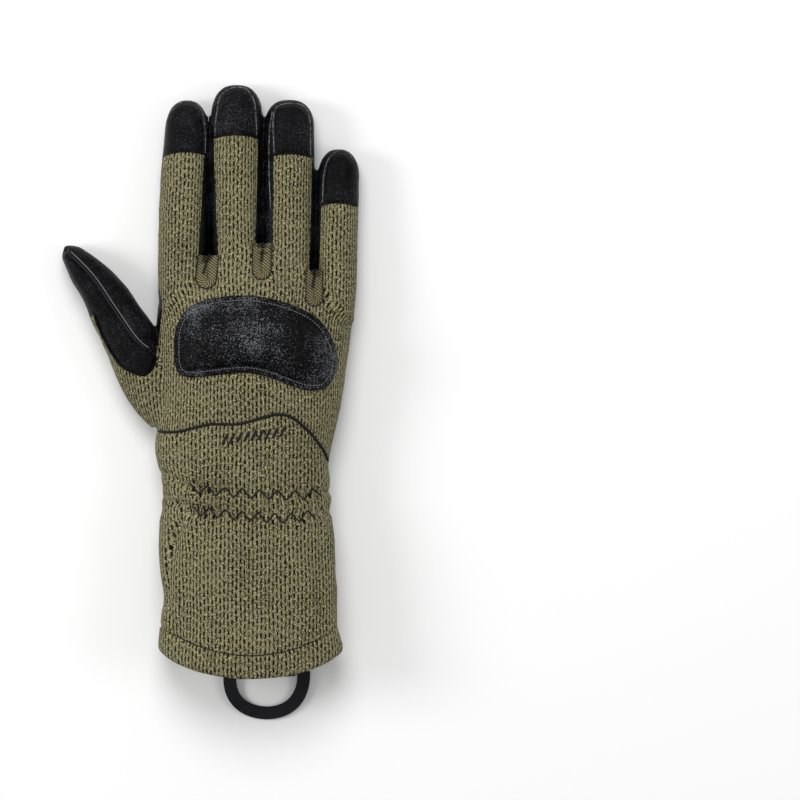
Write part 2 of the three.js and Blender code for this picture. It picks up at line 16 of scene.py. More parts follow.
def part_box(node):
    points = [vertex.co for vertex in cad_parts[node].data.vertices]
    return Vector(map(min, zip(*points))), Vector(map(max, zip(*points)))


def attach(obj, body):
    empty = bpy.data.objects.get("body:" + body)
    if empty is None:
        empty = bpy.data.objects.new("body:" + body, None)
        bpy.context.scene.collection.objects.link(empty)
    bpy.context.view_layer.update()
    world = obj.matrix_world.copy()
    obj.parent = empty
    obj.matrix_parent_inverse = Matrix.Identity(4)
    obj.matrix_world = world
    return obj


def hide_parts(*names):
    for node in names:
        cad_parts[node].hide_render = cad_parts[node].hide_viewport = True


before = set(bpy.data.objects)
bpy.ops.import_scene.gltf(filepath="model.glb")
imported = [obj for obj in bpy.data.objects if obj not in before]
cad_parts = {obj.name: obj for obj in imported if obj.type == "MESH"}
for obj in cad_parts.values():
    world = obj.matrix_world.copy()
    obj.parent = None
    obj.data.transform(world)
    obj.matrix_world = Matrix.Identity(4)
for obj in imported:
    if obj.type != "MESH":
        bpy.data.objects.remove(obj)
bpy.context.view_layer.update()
bpy.ops.object.select_all(action="DESELECT")

MM = 0.001

# Lengths along the hand
CUFF_LENGTH = 107
HAND_LENGTH = 110
FINGER_TIP_LENGTH = 15
FINGER_ROOT_LENGTH = 42

# Widths and heights of the filled-out form
CUFF_WIDTH = 90
CUFF_HEIGHT = 44
HAND_HEIGHT = 38
FINGER_WIDTH = 26
FINGER_HEIGHT = 22
FINGER_LENGTH = 83
FINGER_GAP = 0.9
CAP_LENGTH = 28.5
THUMB_LENGTH = 101
THUMB_WIDTH = 28
THUMB_HEIGHT = 24
THUMB_TURN = math.radians(33)
THUMB_ROOT = (-38.8, 134)

# Walls, seams and trim
WALL = 2
PANEL_GAP = 0.04
THINNEST_WALL = 1.1
SEAM_HEIGHT = 9
PRESSED_FLAT = 1.2
CUFF_FOLD_DEPTH = 1.4
HEM_WIDTH = 12.5
HEM_RISE = 16
HEM_LIFT = 1.5
HEM_SEAM_RISE = 0.88 * HEM_RISE
KNUCKLE_RISE = 34
FOURCHETTE_REACH = 4.6
PALM_HEM_WIDTH = 6.5
PALM_HEM_DROP = 21
GUARD_THICKNESS = 4.6
GUARD_EDGE_THICKNESS = 1.5
GUARD_STITCH_INSET = 2.6
PIPING_RADIUS = 0.68
PIPING_START = -0.98
STRAP_LENGTH = 77.5
STRAP_WIDTH = 30
STRAP_THICKNESS = 1.5
STRAP_CENTRE = 7.5
STRAP_START = 1.2
STRAP_TURN = math.radians(3.5)
LOOP_DROP = 19.5
LOOP_SPAN = 37.3
LOOP_WEBBING = 6.5
LOOP_THICKNESS = 1.6
SQUARENESS = 2.35
WIDEST = 0.44
FOLD_ANGLE = math.radians(141)
FOLD_SPREAD = math.radians(13)
STRAP_CLEARANCE = STRAP_THICKNESS + 0.3


def table(columns, rows):
    """Named columns of numbers from listed rows."""
    return {name: np.array(column, float) for name, column in zip(columns.split(), zip(*rows))}


# Sections of the cuff. at: share of CUFF_LENGTH from the hem. thumb, little: shares of half the
# width. top: share of the height. lift: share of STRAP_CLEARANCE. fold: share of CUFF_FOLD_DEPTH.
CUFF = table("at thumb little top lift fold", [
    (-0.03, 0.985, 1.01, 1.0, 1, 0.3),
    (0.16, 1.028, 1.012, 0.99, 1, 0.4),
    (0.26, 1.02, 0.955, 0.97, 1, 0.7),
    (0.38, 0.99, 0.962, 0.96, 1, 1),
    (0.56, 1.03, 0.935, 0.93, 1, 1),
    (0.71, 1.032, 0.918, 0.89, 1, 0.6),
    (0.77, 1.022, 0.9, 0.86, 0.7, 0),
    (0.81, 1.0, 0.878, 0.81, 0.5, 0),
    (0.855, 1.012, 0.89, 0.84, 0.2, 0),
    (0.9, 0.995, 0.872, 0.79, 0, 0),
    (0.95, 1.01, 0.874, 0.82, -0.4, 0),
])

# Sections of the hand. at: share of HAND_LENGTH from the wrist. thumb, little: shares of half the
# width. top: share of the height. widest: how high up the section it is widest.
HAND = table("at thumb little top widest", [
    (0.0, 0.93, 0.777, 0.95, 0.43),
    (0.11, 0.97, 0.805, 0.96, 0.41),
    (0.22, 0.945, 0.86, 0.98, 0.38),
    (0.34, 0.935, 0.915, 1.0, 0.35),
    (0.48, 0.935, 0.955, 0.99, 0.33),
    (0.6, 0.945, 0.985, 0.96, 0.31),
    (0.72, 0.955, 1.0, 0.89, 0.31),
    (0.83, 0.955, 1.015, 0.8, 0.34),
    (0.93, 0.95, 1.035, 0.69, 0.38),
    (1.03, 0.95, 1.045, 0.6, 0.42),
])

# Sections of a finger's shaft. at: share of the shaft from its root to where the tip rounds off.
# side: share of half the finger's width. top: share of FINGER_HEIGHT.
FINGER = table("at side top", [
    (0.0, 0.64, 1.0),
    (0.12, 0.9, 1.14),
    (0.26, 0.98, 1.12),
    (0.42, 1.0, 1.04),
    (0.66, 1.0, 0.98),
    (0.84, 0.985, 0.94),
    (1.0, 0.94, 0.88),
])
TIP_FULLNESS = 0.8
TIP_LIFT = 0.35
THUMB_TIP_LIFT = 0.3

# Sections of the thumb. at: share of THUMB_LENGTH from its root. outer, inner: shares of
# THUMB_WIDTH either side of its axis. top: share of THUMB_HEIGHT.
THUMB = table("at outer inner top", [
    (0.0, 0.5, 0.4, 0.92),
    (0.14, 0.56, 0.48, 0.98),
    (0.28, 0.525, 0.54, 1.0),
    (0.44, 0.44, 0.555, 1.0),
    (0.52, 0.39, 0.54, 0.97),
    (0.6, 0.35, 0.535, 0.94),
    (0.67, 0.3, 0.515, 0.9),
    (0.74, 0.262, 0.485, 0.87),
    (0.825, 0.258, 0.405, 0.82),
    (0.92, 0.19, 0.275, 0.72),
    (0.97, 0.14, 0.17, 0.6),
    (1.0, 0.02, 0.02, 0.4),
])

# The fingers from the thumb side. wide: share of FINGER_WIDTH. long: share of FINGER_LENGTH past the
# knuckle line. capped: share of CAP_LENGTH. lean: how far the tip leans to the little side, as a share
# of FINGER_WIDTH. tip_wide, tip_long: how full and how long the round tip is. thumb_, little_tip and
# _root: how far the side strips reach onto the back there, as shares of FOURCHETTE_REACH.
FINGER_NAMES = ("index", "middle", "ring", "little")
FINGERS = table("wide long capped lean tip_wide tip_long thumb_tip thumb_root little_tip little_root", [
    (0.977, 0.904, 0.965, 0.085, 0.97, 1.15, 0, 0, 0.5, 0.98),
    (1.0, 1.0, 0.947, 0.02, 1.07, 1.1, 0.35, 0.96, 0.43, 0.61),
    (0.985, 0.904, 1.0, 0.02, 1.03, 0.8, 1.1, 1.07, 0.2, 0.48),
    (0.785, 0.608, 1.0, 0.055, 1.1, 0.95, 0.57, 0.37, 0, 0),
])
KNUCKLE_LINE = CUFF_LENGTH + HAND_LENGTH
PALM_WIDTH = sum(FINGERS["wide"]) * FINGER_WIDTH + 3 * FINGER_GAP
INDEX_EDGE = -0.475 * PALM_WIDTH


class Finger:
    """One finger's place and sizes."""

    def __init__(self, name, edge, row):
        self.name = name
        self.width = row["wide"] * FINGER_WIDTH
        self.centre = edge + self.width / 2
        self.tip = KNUCKLE_LINE + row["long"] * FINGER_LENGTH
        self.cap = row["capped"] * CAP_LENGTH
        self.lean = row["lean"] * FINGER_WIDTH
        self.tip_wide = row["tip_wide"]
        self.shaft_end = self.tip - row["tip_long"] * FINGER_TIP_LENGTH
        self.root = KNUCKLE_LINE - FINGER_ROOT_LENGTH
        self.strips = {
            -1: (row["thumb_tip"] * FOURCHETTE_REACH, row["thumb_root"] * FOURCHETTE_REACH),
            1: (row["little_tip"] * FOURCHETTE_REACH, row["little_root"] * FOURCHETTE_REACH),
        }

    def shaft(self, y):
        return np.clip((y - self.root) / (self.shaft_end - self.root), 0, 1)

    def middle(self, y):
        """The finger's middle line, which leans a little towards the tip."""
        return self.centre + self.lean * self.shaft(y) ** 2

    def side(self, y):
        """Half the finger's width along its shaft."""
        shaft = self.shaft(y)
        half = smooth_between(shaft, FINGER["at"], FINGER["side"]) * self.width / 2
        return half * (1 + (self.tip_wide - 1) * shaft ** 3)

    def limits(self):
        """Across the plan from one neighbour's gap to the other's."""
        spare = self.width / 2 + FINGER_GAP / 2
        left = self.centre - spare - (3 if self.name == "index" else 0)
        right = self.centre + spare + (3 if self.name == "little" else 0)
        return left, right


def lay_out_fingers():
    edge = INDEX_EDGE
    fingers = []
    for i, name in enumerate(FINGER_NAMES):
        fingers.append(Finger(name, edge, {key: column[i] for key, column in FINGERS.items()}))
        edge += fingers[-1].width + FINGER_GAP
    return fingers


fingers = lay_out_fingers()
middle_finger = fingers[1]


def crotch_height(x):
    """How far along the hand the line of the knuckles lies."""
    return KNUCKLE_LINE - KNUCKLE_RISE * (x / (PALM_WIDTH / 2)) ** 2


crotches = []
for before, finger in zip(fingers, fingers[1:]):
    crotch_x = finger.centre - finger.width / 2 - FINGER_GAP / 2
    crotches.append((crotch_x, crotch_height(crotch_x), before.name + "_" + finger.name))

# Where the plan's own origin lies in the frame
cap_low, cap_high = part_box("middle_cap")
hem_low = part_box("cuff_hem")[0]
PLAN_ORIGIN = np.array([
    (cap_low[0] + cap_high[0]) / 2 - middle_finger.centre * MM,
    hem_low[1],
    0.0,
])


def to_frame(points):
    return np.asarray(points, float) * MM + PLAN_ORIGIN


def to_plan(points):
    return (np.asarray(points, float) - PLAN_ORIGIN) / MM


# Curves through rows and points

def smooth_between(at, knots, values):
    """A smooth curve through the rows of a table."""
    slopes = np.gradient(values, knots)
    row = np.clip(np.searchsorted(knots, at) - 1, 0, len(knots) - 2)
    width = knots[row + 1] - knots[row]
    t = np.clip((at - knots[row]) / width, 0, 1)
    start = (1 + 2 * t) * (1 - t) ** 2 * values[row] + t * (1 - t) ** 2 * width * slopes[row]
    end = t * t * (3 - 2 * t) * values[row + 1] - t * t * (1 - t) * width * slopes[row + 1]
    return start + end


def curve_through(points, step=1.0, closed=False):
    """Evenly spaced points on a smooth curve through a few points."""
    points = np.array(points, float)
    if closed:
        points = np.vstack([points[-2:], points, points[:2]])
    knots = np.concatenate([[0], np.cumsum(np.linalg.norm(np.diff(points, axis=0), axis=1) ** 0.5)])
    first, last = (knots[2], knots[-2]) if closed else (knots[0], knots[-1])
    at = np.linspace(first, last, 60 * len(points))
    dense = np.stack([smooth_between(at, knots, column) for column in points.T], axis=1)
    return spaced(dense, step)


def spaced(points, step):
    """The same line with points at even distances."""
    points = np.array(points, float)
    run = np.concatenate([[0], np.cumsum(np.linalg.norm(np.diff(points, axis=0), axis=1))])
    count = max(int(round(run[-1] / step)), 1)
    at = np.linspace(0, run[-1], count + 1)
    return np.stack([np.interp(at, run, column) for column in points.T], axis=1)


def distance_to(line, points):
    """Each point's distance to a line, in as many dimensions as the line has."""
    line = np.asarray(line, float)
    points = points[:, : line.shape[1]]
    nearest = np.full(len(points), 1e9)
    for start, end in zip(line, line[1:]):
        along = end - start
        share = np.clip((points - start) @ along / max(along @ along, 1e-9), 0, 1)
        offset = points - start - share[:, None] * along
        nearest = np.minimum(nearest, np.einsum("ij,ij->i", offset, offset))
    return np.sqrt(nearest)


def dip(distance, width):
    """A soft groove's depth from 0 to 1."""
    return np.exp(-((distance / width) ** 2))


# Meshes

def select_only(*pieces):
    bpy.ops.object.select_all(action="DESELECT")
    for piece in pieces:
        piece.select_set(True)
    bpy.context.view_layer.objects.active = pieces[0]


def mesh_piece(name, points, faces):
    """A piece from points in the plan's millimetres."""
    mesh = bpy.data.meshes.new(name)
    mesh.from_pydata(to_frame(points).tolist(), [], [list(face) for face in faces])
    piece = bpy.data.objects.new(name, mesh)
    bpy.context.collection.objects.link(piece)
    return piece


def points_of(piece):
    """The piece's points in the plan's millimetres."""
    flat = np.empty(len(piece.data.vertices) * 3)
    piece.data.vertices.foreach_get("co", flat)
    return to_plan(flat.reshape(-1, 3))


def move_points(piece, points):
    piece.data.vertices.foreach_set("co", to_frame(points).ravel())
    piece.data.update()


def normals_of(piece):
    flat = np.empty(len(piece.data.vertices) * 3)
    piece.data.vertex_normals.foreach_get("vector", flat)
    return flat.reshape(-1, 3)


def apply_modifier(piece, kind, **settings):
    select_only(piece)
    modifier = piece.modifiers.new(kind.title(), kind)
    for setting, value in settings.items():
        setattr(modifier, setting, value)
    bpy.ops.object.modifier_apply(modifier=modifier.name)


def edit(piece, *steps):
    """Runs edit-mode steps, each a call and its settings, on all of a piece."""
    select_only(piece)
    bpy.ops.object.mode_set(mode="EDIT")
    bpy.ops.mesh.select_all(action="SELECT")
    for step, settings in steps:
        step(**settings)
    bpy.ops.object.mode_set(mode="OBJECT")


def grid_piece(name, place, columns, rows, round_columns=False, round_rows=False):
    """A grid of rows and columns, each corner put where place(column share, row share) says."""
    bpy.ops.mesh.primitive_grid_add(x_subdivisions=columns, y_subdivisions=rows, size=2)
    piece = bpy.context.object
    piece.name = piece.data.name = name
    flat = np.empty(len(piece.data.vertices) * 3)
    piece.data.vertices.foreach_get("co", flat)
    shares = (flat.reshape(-1, 3)[:, :2] + 1) / 2
    points = place(shares[:, 0], shares[:, 1])
    move_points(piece, points)
    steps = []
    if round_columns or round_rows:
        steps.append((bpy.ops.mesh.remove_doubles, {"threshold": 1e-6}))
    steps.append((bpy.ops.mesh.normals_make_consistent, {"inside": False}))
    edit(piece, *steps)
    return piece


def prism(outline, low, high, slant=0.0):
    """A cutting block over a plan outline, which may lean to one side."""
    outline = np.array(outline, float)
    area = np.sum(outline[:, 0] * np.roll(outline[:, 1], -1) - outline[:, 1] * np.roll(outline[:, 0], -1))
    if area < 0:
        outline = outline[::-1]
    count = len(outline)
    points = [(x + slant * (z - SEAM_HEIGHT), y, z) for z in (low, high) for x, y in outline]
    faces = [list(range(count))[::-1], list(range(count, 2 * count))]
    for i in range(count):
        j = (i + 1) % count
        faces.append([i, j, j + count, i + count])
    return mesh_piece("blade", points, faces)


def grown(outline, distance):
    """A plan outline pushed outwards."""
    outline = np.array(outline, float)
    area = np.sum(outline[:, 0] * np.roll(outline[:, 1], -1) - outline[:, 1] * np.roll(outline[:, 0], -1))
    if area < 0:
        outline = outline[::-1]
    into = outline - np.roll(outline, 1, axis=0)
    into /= np.linalg.norm(into, axis=1)[:, None]
    out = np.roll(into, -1, axis=0)
    normal = np.stack([into[:, 1] + out[:, 1], -into[:, 0] - out[:, 0]], axis=1)
    normal /= np.linalg.norm(normal, axis=1)[:, None]
    reach = np.maximum(normal[:, 0] * into[:, 1] - normal[:, 1] * into[:, 0], 0.4)
    return outline + normal * (distance / reach)[:, None]


def cut(piece, blade, operation):
    apply_modifier(piece, "BOOLEAN", operation=operation, solver="MANIFOLD", object=blade)


def remove(piece):
    bpy.data.objects.remove(piece, do_unlink=True)


def copy_of(piece, name):
    other = piece.copy()
    other.data = piece.data.copy()
    other.name = other.data.name = name
    bpy.context.collection.objects.link(other)
    return other


# The filled-out form

def body_rows():
    half = PALM_WIDTH / 2
    cuff, hand = len(CUFF["at"]), len(HAND["at"])
    return {
        "y": np.concatenate([CUFF["at"] * CUFF_LENGTH, CUFF_LENGTH + HAND["at"] * HAND_LENGTH]),
        "left": np.concatenate([CUFF["thumb"] * CUFF_WIDTH / 2, HAND["thumb"] * half]),
        "right": np.concatenate([CUFF["little"] * CUFF_WIDTH / 2, HAND["little"] * half]),
        "low": np.concatenate([CUFF["lift"] * STRAP_CLEARANCE, np.full(hand, -PRESSED_FLAT)]),
        "high": np.concatenate([CUFF["top"] * CUFF_HEIGHT, HAND["top"] * HAND_HEIGHT]),
        "widest": np.concatenate([np.full(cuff, WIDEST), HAND["widest"]]),
        "fold": np.concatenate([CUFF["fold"] * CUFF_FOLD_DEPTH, np.zeros(hand)]),
    }


BODY = body_rows()


def rounded_section(angle, left, right, low, high, widest=WIDEST):
    """Across and up for a rounded section, widest at a share of its height."""
    middle = low + (high - low) * widest
    across, up = np.cos(angle), np.sin(angle)
    side = np.where(across > 0, right, left)
    rise = np.where(up > 0, high - middle, middle - low)
    x = np.sign(across) * np.abs(across) ** (2 / SQUARENESS) * side
    z = middle + np.sign(up) * np.abs(up) ** (2 / SQUARENESS) * rise
    return x, z


def body_section(angle, y, inset):
    row = {key: smooth_between(y, BODY["y"], values) for key, values in BODY.items() if key != "y"}
    turned = np.mod(angle, 2 * np.pi)
    fold = row["fold"] * np.exp(-(((turned - FOLD_ANGLE) / FOLD_SPREAD) ** 2))
    x, z = rounded_section(
        angle,
        row["left"] - inset - fold,
        row["right"] - inset - fold,
        row["low"] + inset,
        row["high"] - inset - fold,
        row["widest"],
    )
    return x, z


def turn_of(share):
    return (share - 0.25) * 2 * np.pi


BODY_NEAR = -6.0
BODY_FAR = KNUCKLE_LINE + 2
BEND_START = CUFF_LENGTH + 0.45 * HAND_LENGTH


def knuckle_sag(x, y):
    """How far the sections are drawn back at the sides, towards the curved line of the knuckles."""
    bend = np.clip((y - BEND_START) / (BODY_FAR - BEND_START), 0, 1)
    return KNUCKLE_RISE * (x / (PALM_WIDTH / 2)) ** 2 * bend ** 1.5


def body_tube(inset, step):
    def place(round_share, long_share):
        y = BODY_NEAR + (BODY_FAR - inset - BODY_NEAR) * long_share
        x, z = body_section(turn_of(round_share), y, inset)
        return np.stack([x, y - knuckle_sag(x, y), z], axis=1)

    return grid_piece("body", place, int(250 / step), int(230 / step), round_columns=True)


def finger_tube(finger, inset, step):
    tip_share = 0.25

    def place(round_share, long_share):
        shaft = np.clip(long_share / (1 - tip_share), 0, 1)
        turn = np.clip((long_share - (1 - tip_share)) / tip_share, 0, 1) * np.pi / 2
        shaft_y = finger.root + shaft * (finger.shaft_end - finger.root)
        side = finger.side(shaft_y) - inset
        top = smooth_between(shaft, FINGER["at"], FINGER["top"]) * FINGER_HEIGHT - inset
        shrink = np.maximum(np.cos(turn), 0) ** TIP_FULLNESS
        low = inset - PRESSED_FLAT + (1 - shrink) * TIP_LIFT * FINGER_HEIGHT
        high = low + (top - inset + PRESSED_FLAT) * shrink
        x, z = rounded_section(turn_of(round_share), side * shrink, side * shrink, low, high)
        y = shaft_y + np.sin(turn) * (finger.tip - finger.shaft_end - inset)
        return np.stack([finger.middle(shaft_y) + x, y, z], axis=1)

    return grid_piece(finger.name, place, int(80 / step), int(150 / step), round_columns=True)


def thumb_place(across, along):
    """A point of the thumb's own plan, turned out from its root to where the thumb lies."""
    cos, sin = math.cos(THUMB_TURN), math.sin(THUMB_TURN)
    x = THUMB_ROOT[0] - along * sin + across * cos
    y = THUMB_ROOT[1] + along * cos + across * sin
    return x, y


def thumb_tube(inset, step):
    def place(round_share, long_share):
        at = long_share
        row = {key: smooth_between(at, THUMB["at"], THUMB[key]) for key in ("outer", "inner", "top")}
        outer = np.maximum(row["outer"] * THUMB_WIDTH - inset, 0.05)
        inner = np.maximum(row["inner"] * THUMB_WIDTH - inset, 0.05)
        low = inset - PRESSED_FLAT + (1 - row["top"]) * THUMB_TIP_LIFT * THUMB_HEIGHT
        high = np.maximum(row["top"] * THUMB_HEIGHT - inset, low + 0.1)
        across, z = rounded_section(turn_of(round_share), outer, inner, low, high)
        x, y = thumb_place(across, at * (THUMB_LENGTH - inset))
        return np.stack([x, y, z], axis=1)

    return grid_piece("thumb", place, int(85 / step), int(110 / step), round_columns=True)


def close_ends(piece):
    mesh = bmesh.new()
    mesh.from_mesh(piece.data)
    edges = [edge for edge in mesh.edges if edge.is_boundary]
    bmesh.ops.holes_fill(mesh, edges=edges, sides=0)
    bmesh.ops.recalc_face_normals(mesh, faces=mesh.faces)
    mesh.to_mesh(piece.data)
    mesh.free()


def filled_form(name, inset, voxel, step, smoothing):
    """Body, fingers and thumb grown together into one smooth skin."""
    tubes = [body_tube(inset, step), thumb_tube(inset, step)]
    tubes += [finger_tube(finger, inset, step) for finger in fingers]
    for tube in tubes:
        close_ends(tube)
    select_only(*tubes)
    bpy.ops.object.join()
    form = bpy.context.object
    form.name = form.data.name = name
    apply_modifier(form, "REMESH", mode="VOXEL", voxel_size=voxel * MM, adaptivity=0)
    apply_modifier(form, "SMOOTH", factor=0.5, iterations=smoothing)
    return form


# Seams and outlines in the plan

OVER, UNDER = 90.0, -20.0
FAR = 2 * PALM_WIDTH
CUFF_HALF = CUFF_WIDTH / 2


def hem_edge(x):
    """The hem runs further down in the middle than at its sides."""
    share = np.abs(x) / CUFF_HALF
    return HEM_LIFT + HEM_RISE * (0.62 * share ** 2 + 0.2 * share ** 8)


def hem_seam(x):
    return HEM_WIDTH + HEM_LIFT / 2 + HEM_SEAM_RISE * (x / CUFF_HALF) ** 2


def on_hand(points):
    """Points from shares of half the palm's width and of the hand's length from the wrist."""
    return [(x * PALM_WIDTH / 2, CUFF_LENGTH + at * HAND_LENGTH) for x, at in points]


def on_thumb(points):
    """Points from shares of the thumb's width across its axis and of its length along it."""
    return [thumb_place(across * THUMB_WIDTH, along * THUMB_LENGTH) for across, along in points]


WRIST_SEAM = on_hand([
    (-1.0, 0.17), (-0.77, 0.165), (-0.39, 0.2), (-0.14, 0.2), (0.3, 0.245),
    (0.46, 0.215), (0.71, 0.09), (0.79, -0.01), (0.86, -0.1),
])
wrist_seam = curve_through(WRIST_SEAM, 1.5)

THUMB_SEAM = on_thumb([(0.36, 0.31), (0.27, 0.345), (0.2, 0.406), (0.17, 0.6), (0.15, 0.8), (0, 1)])
thumb_seam = curve_through(THUMB_SEAM, 1.5)
THUMB_BORDER = on_thumb([
    (-0.235, 0.633), (-0.3, 0.55), (-0.344, 0.43), (-0.327, 0.346), (-0.2, 0.281),
    (-0.054, 0.242), (0.17, 0.256), (0.3, 0.29),
])
thumb_border = curve_through(THUMB_BORDER, 1.2)
thumb_outer_end = on_thumb([(-0.1, 1.06), (-0.8, 1.06), (-0.8, 0.633)])
thumb_inner_end = on_thumb([(0.53, 0.4), (0.66, 0.46), (0.8, 0.6), (0.8, 1.06), (-0.1, 1.06)])

# The palm's seam along the ball of the thumb: shares of half the palm's width and of the hand
PALM_SEAM = on_hand([
    (-0.957, 0.626), (-0.666, 0.507), (-0.584, 0.397), (-0.574, 0.218), (-0.626, 0.045), (-0.636, -0.09),
])
palm_seam = curve_through(PALM_SEAM, 1.5)
LEATHER_EDGE = on_thumb([
    (-0.56, -0.336), (-0.446, -0.25), (-0.38, -0.12), (-0.375, 0.0), (-0.39, 0.108),
    (-0.44, 0.205), (-0.243, 0.354), (-0.104, 0.449), (-0.03, 0.596),
])
leather_edge = curve_through(LEATHER_EDGE, 1.5)
thumb_front_end = on_thumb([(-0.8, 0.62), (-0.8, 1.06), (0.8, 1.06), (0.8, 0.6), (0.66, 0.46)])
palm_hem_near = CUFF_LENGTH - PALM_HEM_DROP
palm_hem_far = palm_hem_near + PALM_HEM_WIDTH

GUARD_OUTLINE = on_hand([
    (-0.775, 0.53), (-0.74, 0.44), (-0.655, 0.415), (0.0, 0.432), (0.6, 0.352), (0.76, 0.37),
    (0.865, 0.46), (0.83, 0.57), (0.645, 0.69), (0.02, 0.785), (-0.58, 0.745), (-0.74, 0.66),
])
guard_outline = curve_through(GUARD_OUTLINE, 0.9, closed=True)[:-1]

# The gathered wrist: two zigzag rows across the back, the middle line and pitch of each
ZIGZAG_HEIGHT = 5.0
ZIGZAGS = (
    ([(-30.8, 97.2), (-20, 95.6), (0, 94.1), (15, 93.5), (25, 93.4), (35.4, 95)], 8.8),
    ([(-29.2, 85.6), (-18, 84.4), (-5, 83.1), (12, 81.9), (22, 82.2), (33.6, 84)], 8.2),
)
zigzag_lines = [curve_through(points, 1.0) for points, pitch in ZIGZAGS]

CAP_ARCH = 1.4
CAP_SAG = 2.2


def cap_edge(finger):
    """The cap's lower edge, arched a little towards the tip."""
    near = finger.tip - finger.cap
    middle = finger.middle(near)
    left, right = finger.limits()
    edge = []
    for x in np.linspace(left, right, 13):
        share = np.clip((x - middle) / (finger.width / 2), -1.05, 1.05)
        edge.append((x, near + CAP_ARCH - CAP_SAG * share ** 2))
    return edge


# The seam round each cap, from the thumb side over the tip to the little side: shares of half the
# finger's width from its middle line, and of its cap's length from the tip
CAP_SEAMS = {
    "index": [(-0.6, 0.14), (-0.15, 0.04), (0.3, 0.045), (0.58, 0.2), (0.72, 0.5), (0.77, 1.0)],
    "middle": [(-0.82, 0.98), (-0.76, 0.57), (-0.6, 0.22), (-0.22, 0.085), (0.15, 0.06), (0.4, 0.1),
               (0.68, 0.3), (0.76, 0.62), (0.8, 0.96)],
    "ring": [(-0.58, 0.96), (-0.62, 0.3), (-0.5, 0.13), (-0.14, 0.07), (0.32, 0.07), (0.6, 0.13), (0.78, 0.3),
             (0.85, 0.98)],
    "little": [(-0.76, 0.95), (-0.72, 0.45), (-0.5, 0.18), (-0.05, 0.045), (0.4, 0.06), (0.72, 0.2)],
}


def on_finger(finger, points):
    placed = []
    for across, back in points:
        y = finger.tip - back * finger.cap
        placed.append((finger.middle(y) + across * finger.width / 2, y))
    return placed


cap_seams = {finger.name: curve_through(on_finger(finger, CAP_SEAMS[finger.name]), 0.8) for finger in fingers}
# The ring finger's wide strip shows its turned edge all the way down, with a painted highlight
RING_STRIP_EDGE = [(-0.66, 0.2), (-0.76, 0.5), (-0.78, 1.15), (-0.7, 1.95)]
ring_strip_edge = curve_through(on_finger(fingers[2], RING_STRIP_EDGE), 0.8)


def strip_edges(finger):
    """Where the side strips end on the finger's back: side, across at the root and at the tip."""
    edges = []
    for side, (at_tip, at_root) in finger.strips.items():
        if at_root:
            root_edge = finger.centre + side * (finger.width / 2 - at_root)
            tip_y = finger.tip - finger.cap
            tip_edge = finger.middle(tip_y) + side * (finger.side(tip_y) - at_tip)
            edges.append((side, root_edge, tip_edge))
    return edges


# The U round each crotch: half its width, its shift across and its length
GUSSETS = ((5.3, -1.0, 13.6), (4.7, 0.0, 15.2), (4.3, -0.2, 15.2))


def gusset_outline(i):
    """A U round the crotch of two fingers."""
    x, y, name = crotches[i]
    half, shift, length = GUSSETS[i]
    foot = y - length
    turns = np.linspace(-np.pi, 0, 13)
    curve = [(x + shift + half * math.cos(t), foot + half + half * math.sin(t)) for t in turns]
    return curve + [(x + half, y + 3), (x - half, y + 3)]


# Sculpting the skin: seams pulled in, gathers, folds and a hand-made unevenness

def cloud(points, size, seed):
    """Soft noise from -1 to 1 over places in millimetres."""
    shifted = points / size + seed
    return np.array([noise.noise(Vector(p)) for p in shifted.tolist()])


def seam_pull(points):
    """How far each point is drawn in by the seams next to it."""
    x, y, z = points.T
    on_back = z > SEAM_HEIGHT - 1
    pull = np.zeros(len(points))

    def groove(line, depth, width, where):
        inside = where & (y > line[:, 1].min() - 6) & (y < line[:, 1].max() + 6)
        pull[inside] = np.maximum(pull[inside], depth * dip(distance_to(line, points[inside]), width))

    groove(wrist_seam, 0.7, 1.3, on_back)
    groove(thumb_seam + np.array([-1.3, -0.9]), 1.5, 1.5, on_back)
    groove(thumb_border, 0.8, 1.1, on_back)
    groove(palm_seam, 0.8, 1.2, ~on_back)
    groove(leather_edge, 0.6, 1.2, ~on_back)
    hem_line = np.array([(t, hem_seam(t)) for t in np.linspace(-50, 50, 60)])
    groove(hem_line, 0.55, 1.0, y < 40)
    groove(guard_outline, 0.5, 2.5, on_back)
    for finger in fingers:
        on_finger_back = on_back & (np.abs(x - finger.centre) < finger.width / 2 + 0.4)
        groove(np.array(cap_edge(finger)), 0.8, 1.2, on_finger_back)
        for side, root_edge, tip_edge in strip_edges(finger):
            line = np.array([(root_edge, crotch_height(root_edge) + 2), (tip_edge, finger.tip - finger.cap)])
            groove(line, 0.7, 1.0, on_back)
        groove(cap_seams[finger.name], 0.6, 0.8, on_back)
    for i, (crotch_x, crotch_y, name) in enumerate(crotches):
        groove(np.array(gusset_outline(i)[:13]), 0.7, 0.9, on_back)
        slit = np.array([(crotch_x, crotch_y + 4), (crotch_x - 0.4, crotch_y - 7)])
        groove(slit, 1.6, 1.5, on_back)
    for crease in PALM_CREASES:
        groove(np.array(crease, float), 0.7, 1.3, ~on_back)
    side_seam = (y > palm_hem_far) & (np.abs(z - SEAM_HEIGHT) < 4)
    pull[side_seam] = np.maximum(pull[side_seam], 0.75 * dip(z[side_seam] - SEAM_HEIGHT, 1.1))
    return pull


# Small puckers beside the gathers: across, along, size and depth
PUCKERS = (
    (-43.2, 104.3, 2.4, 1.5), (-37.6, 101.2, 2.6, 1.4), (-42.4, 92.3, 2.6, 1.6), (-36.4, 89.4, 2.6, 1.5),
    (-33, 98.6, 2.2, 0.8), (38, 95, 2.6, 1.0), (37, 84.5, 2.6, 1.0),
)
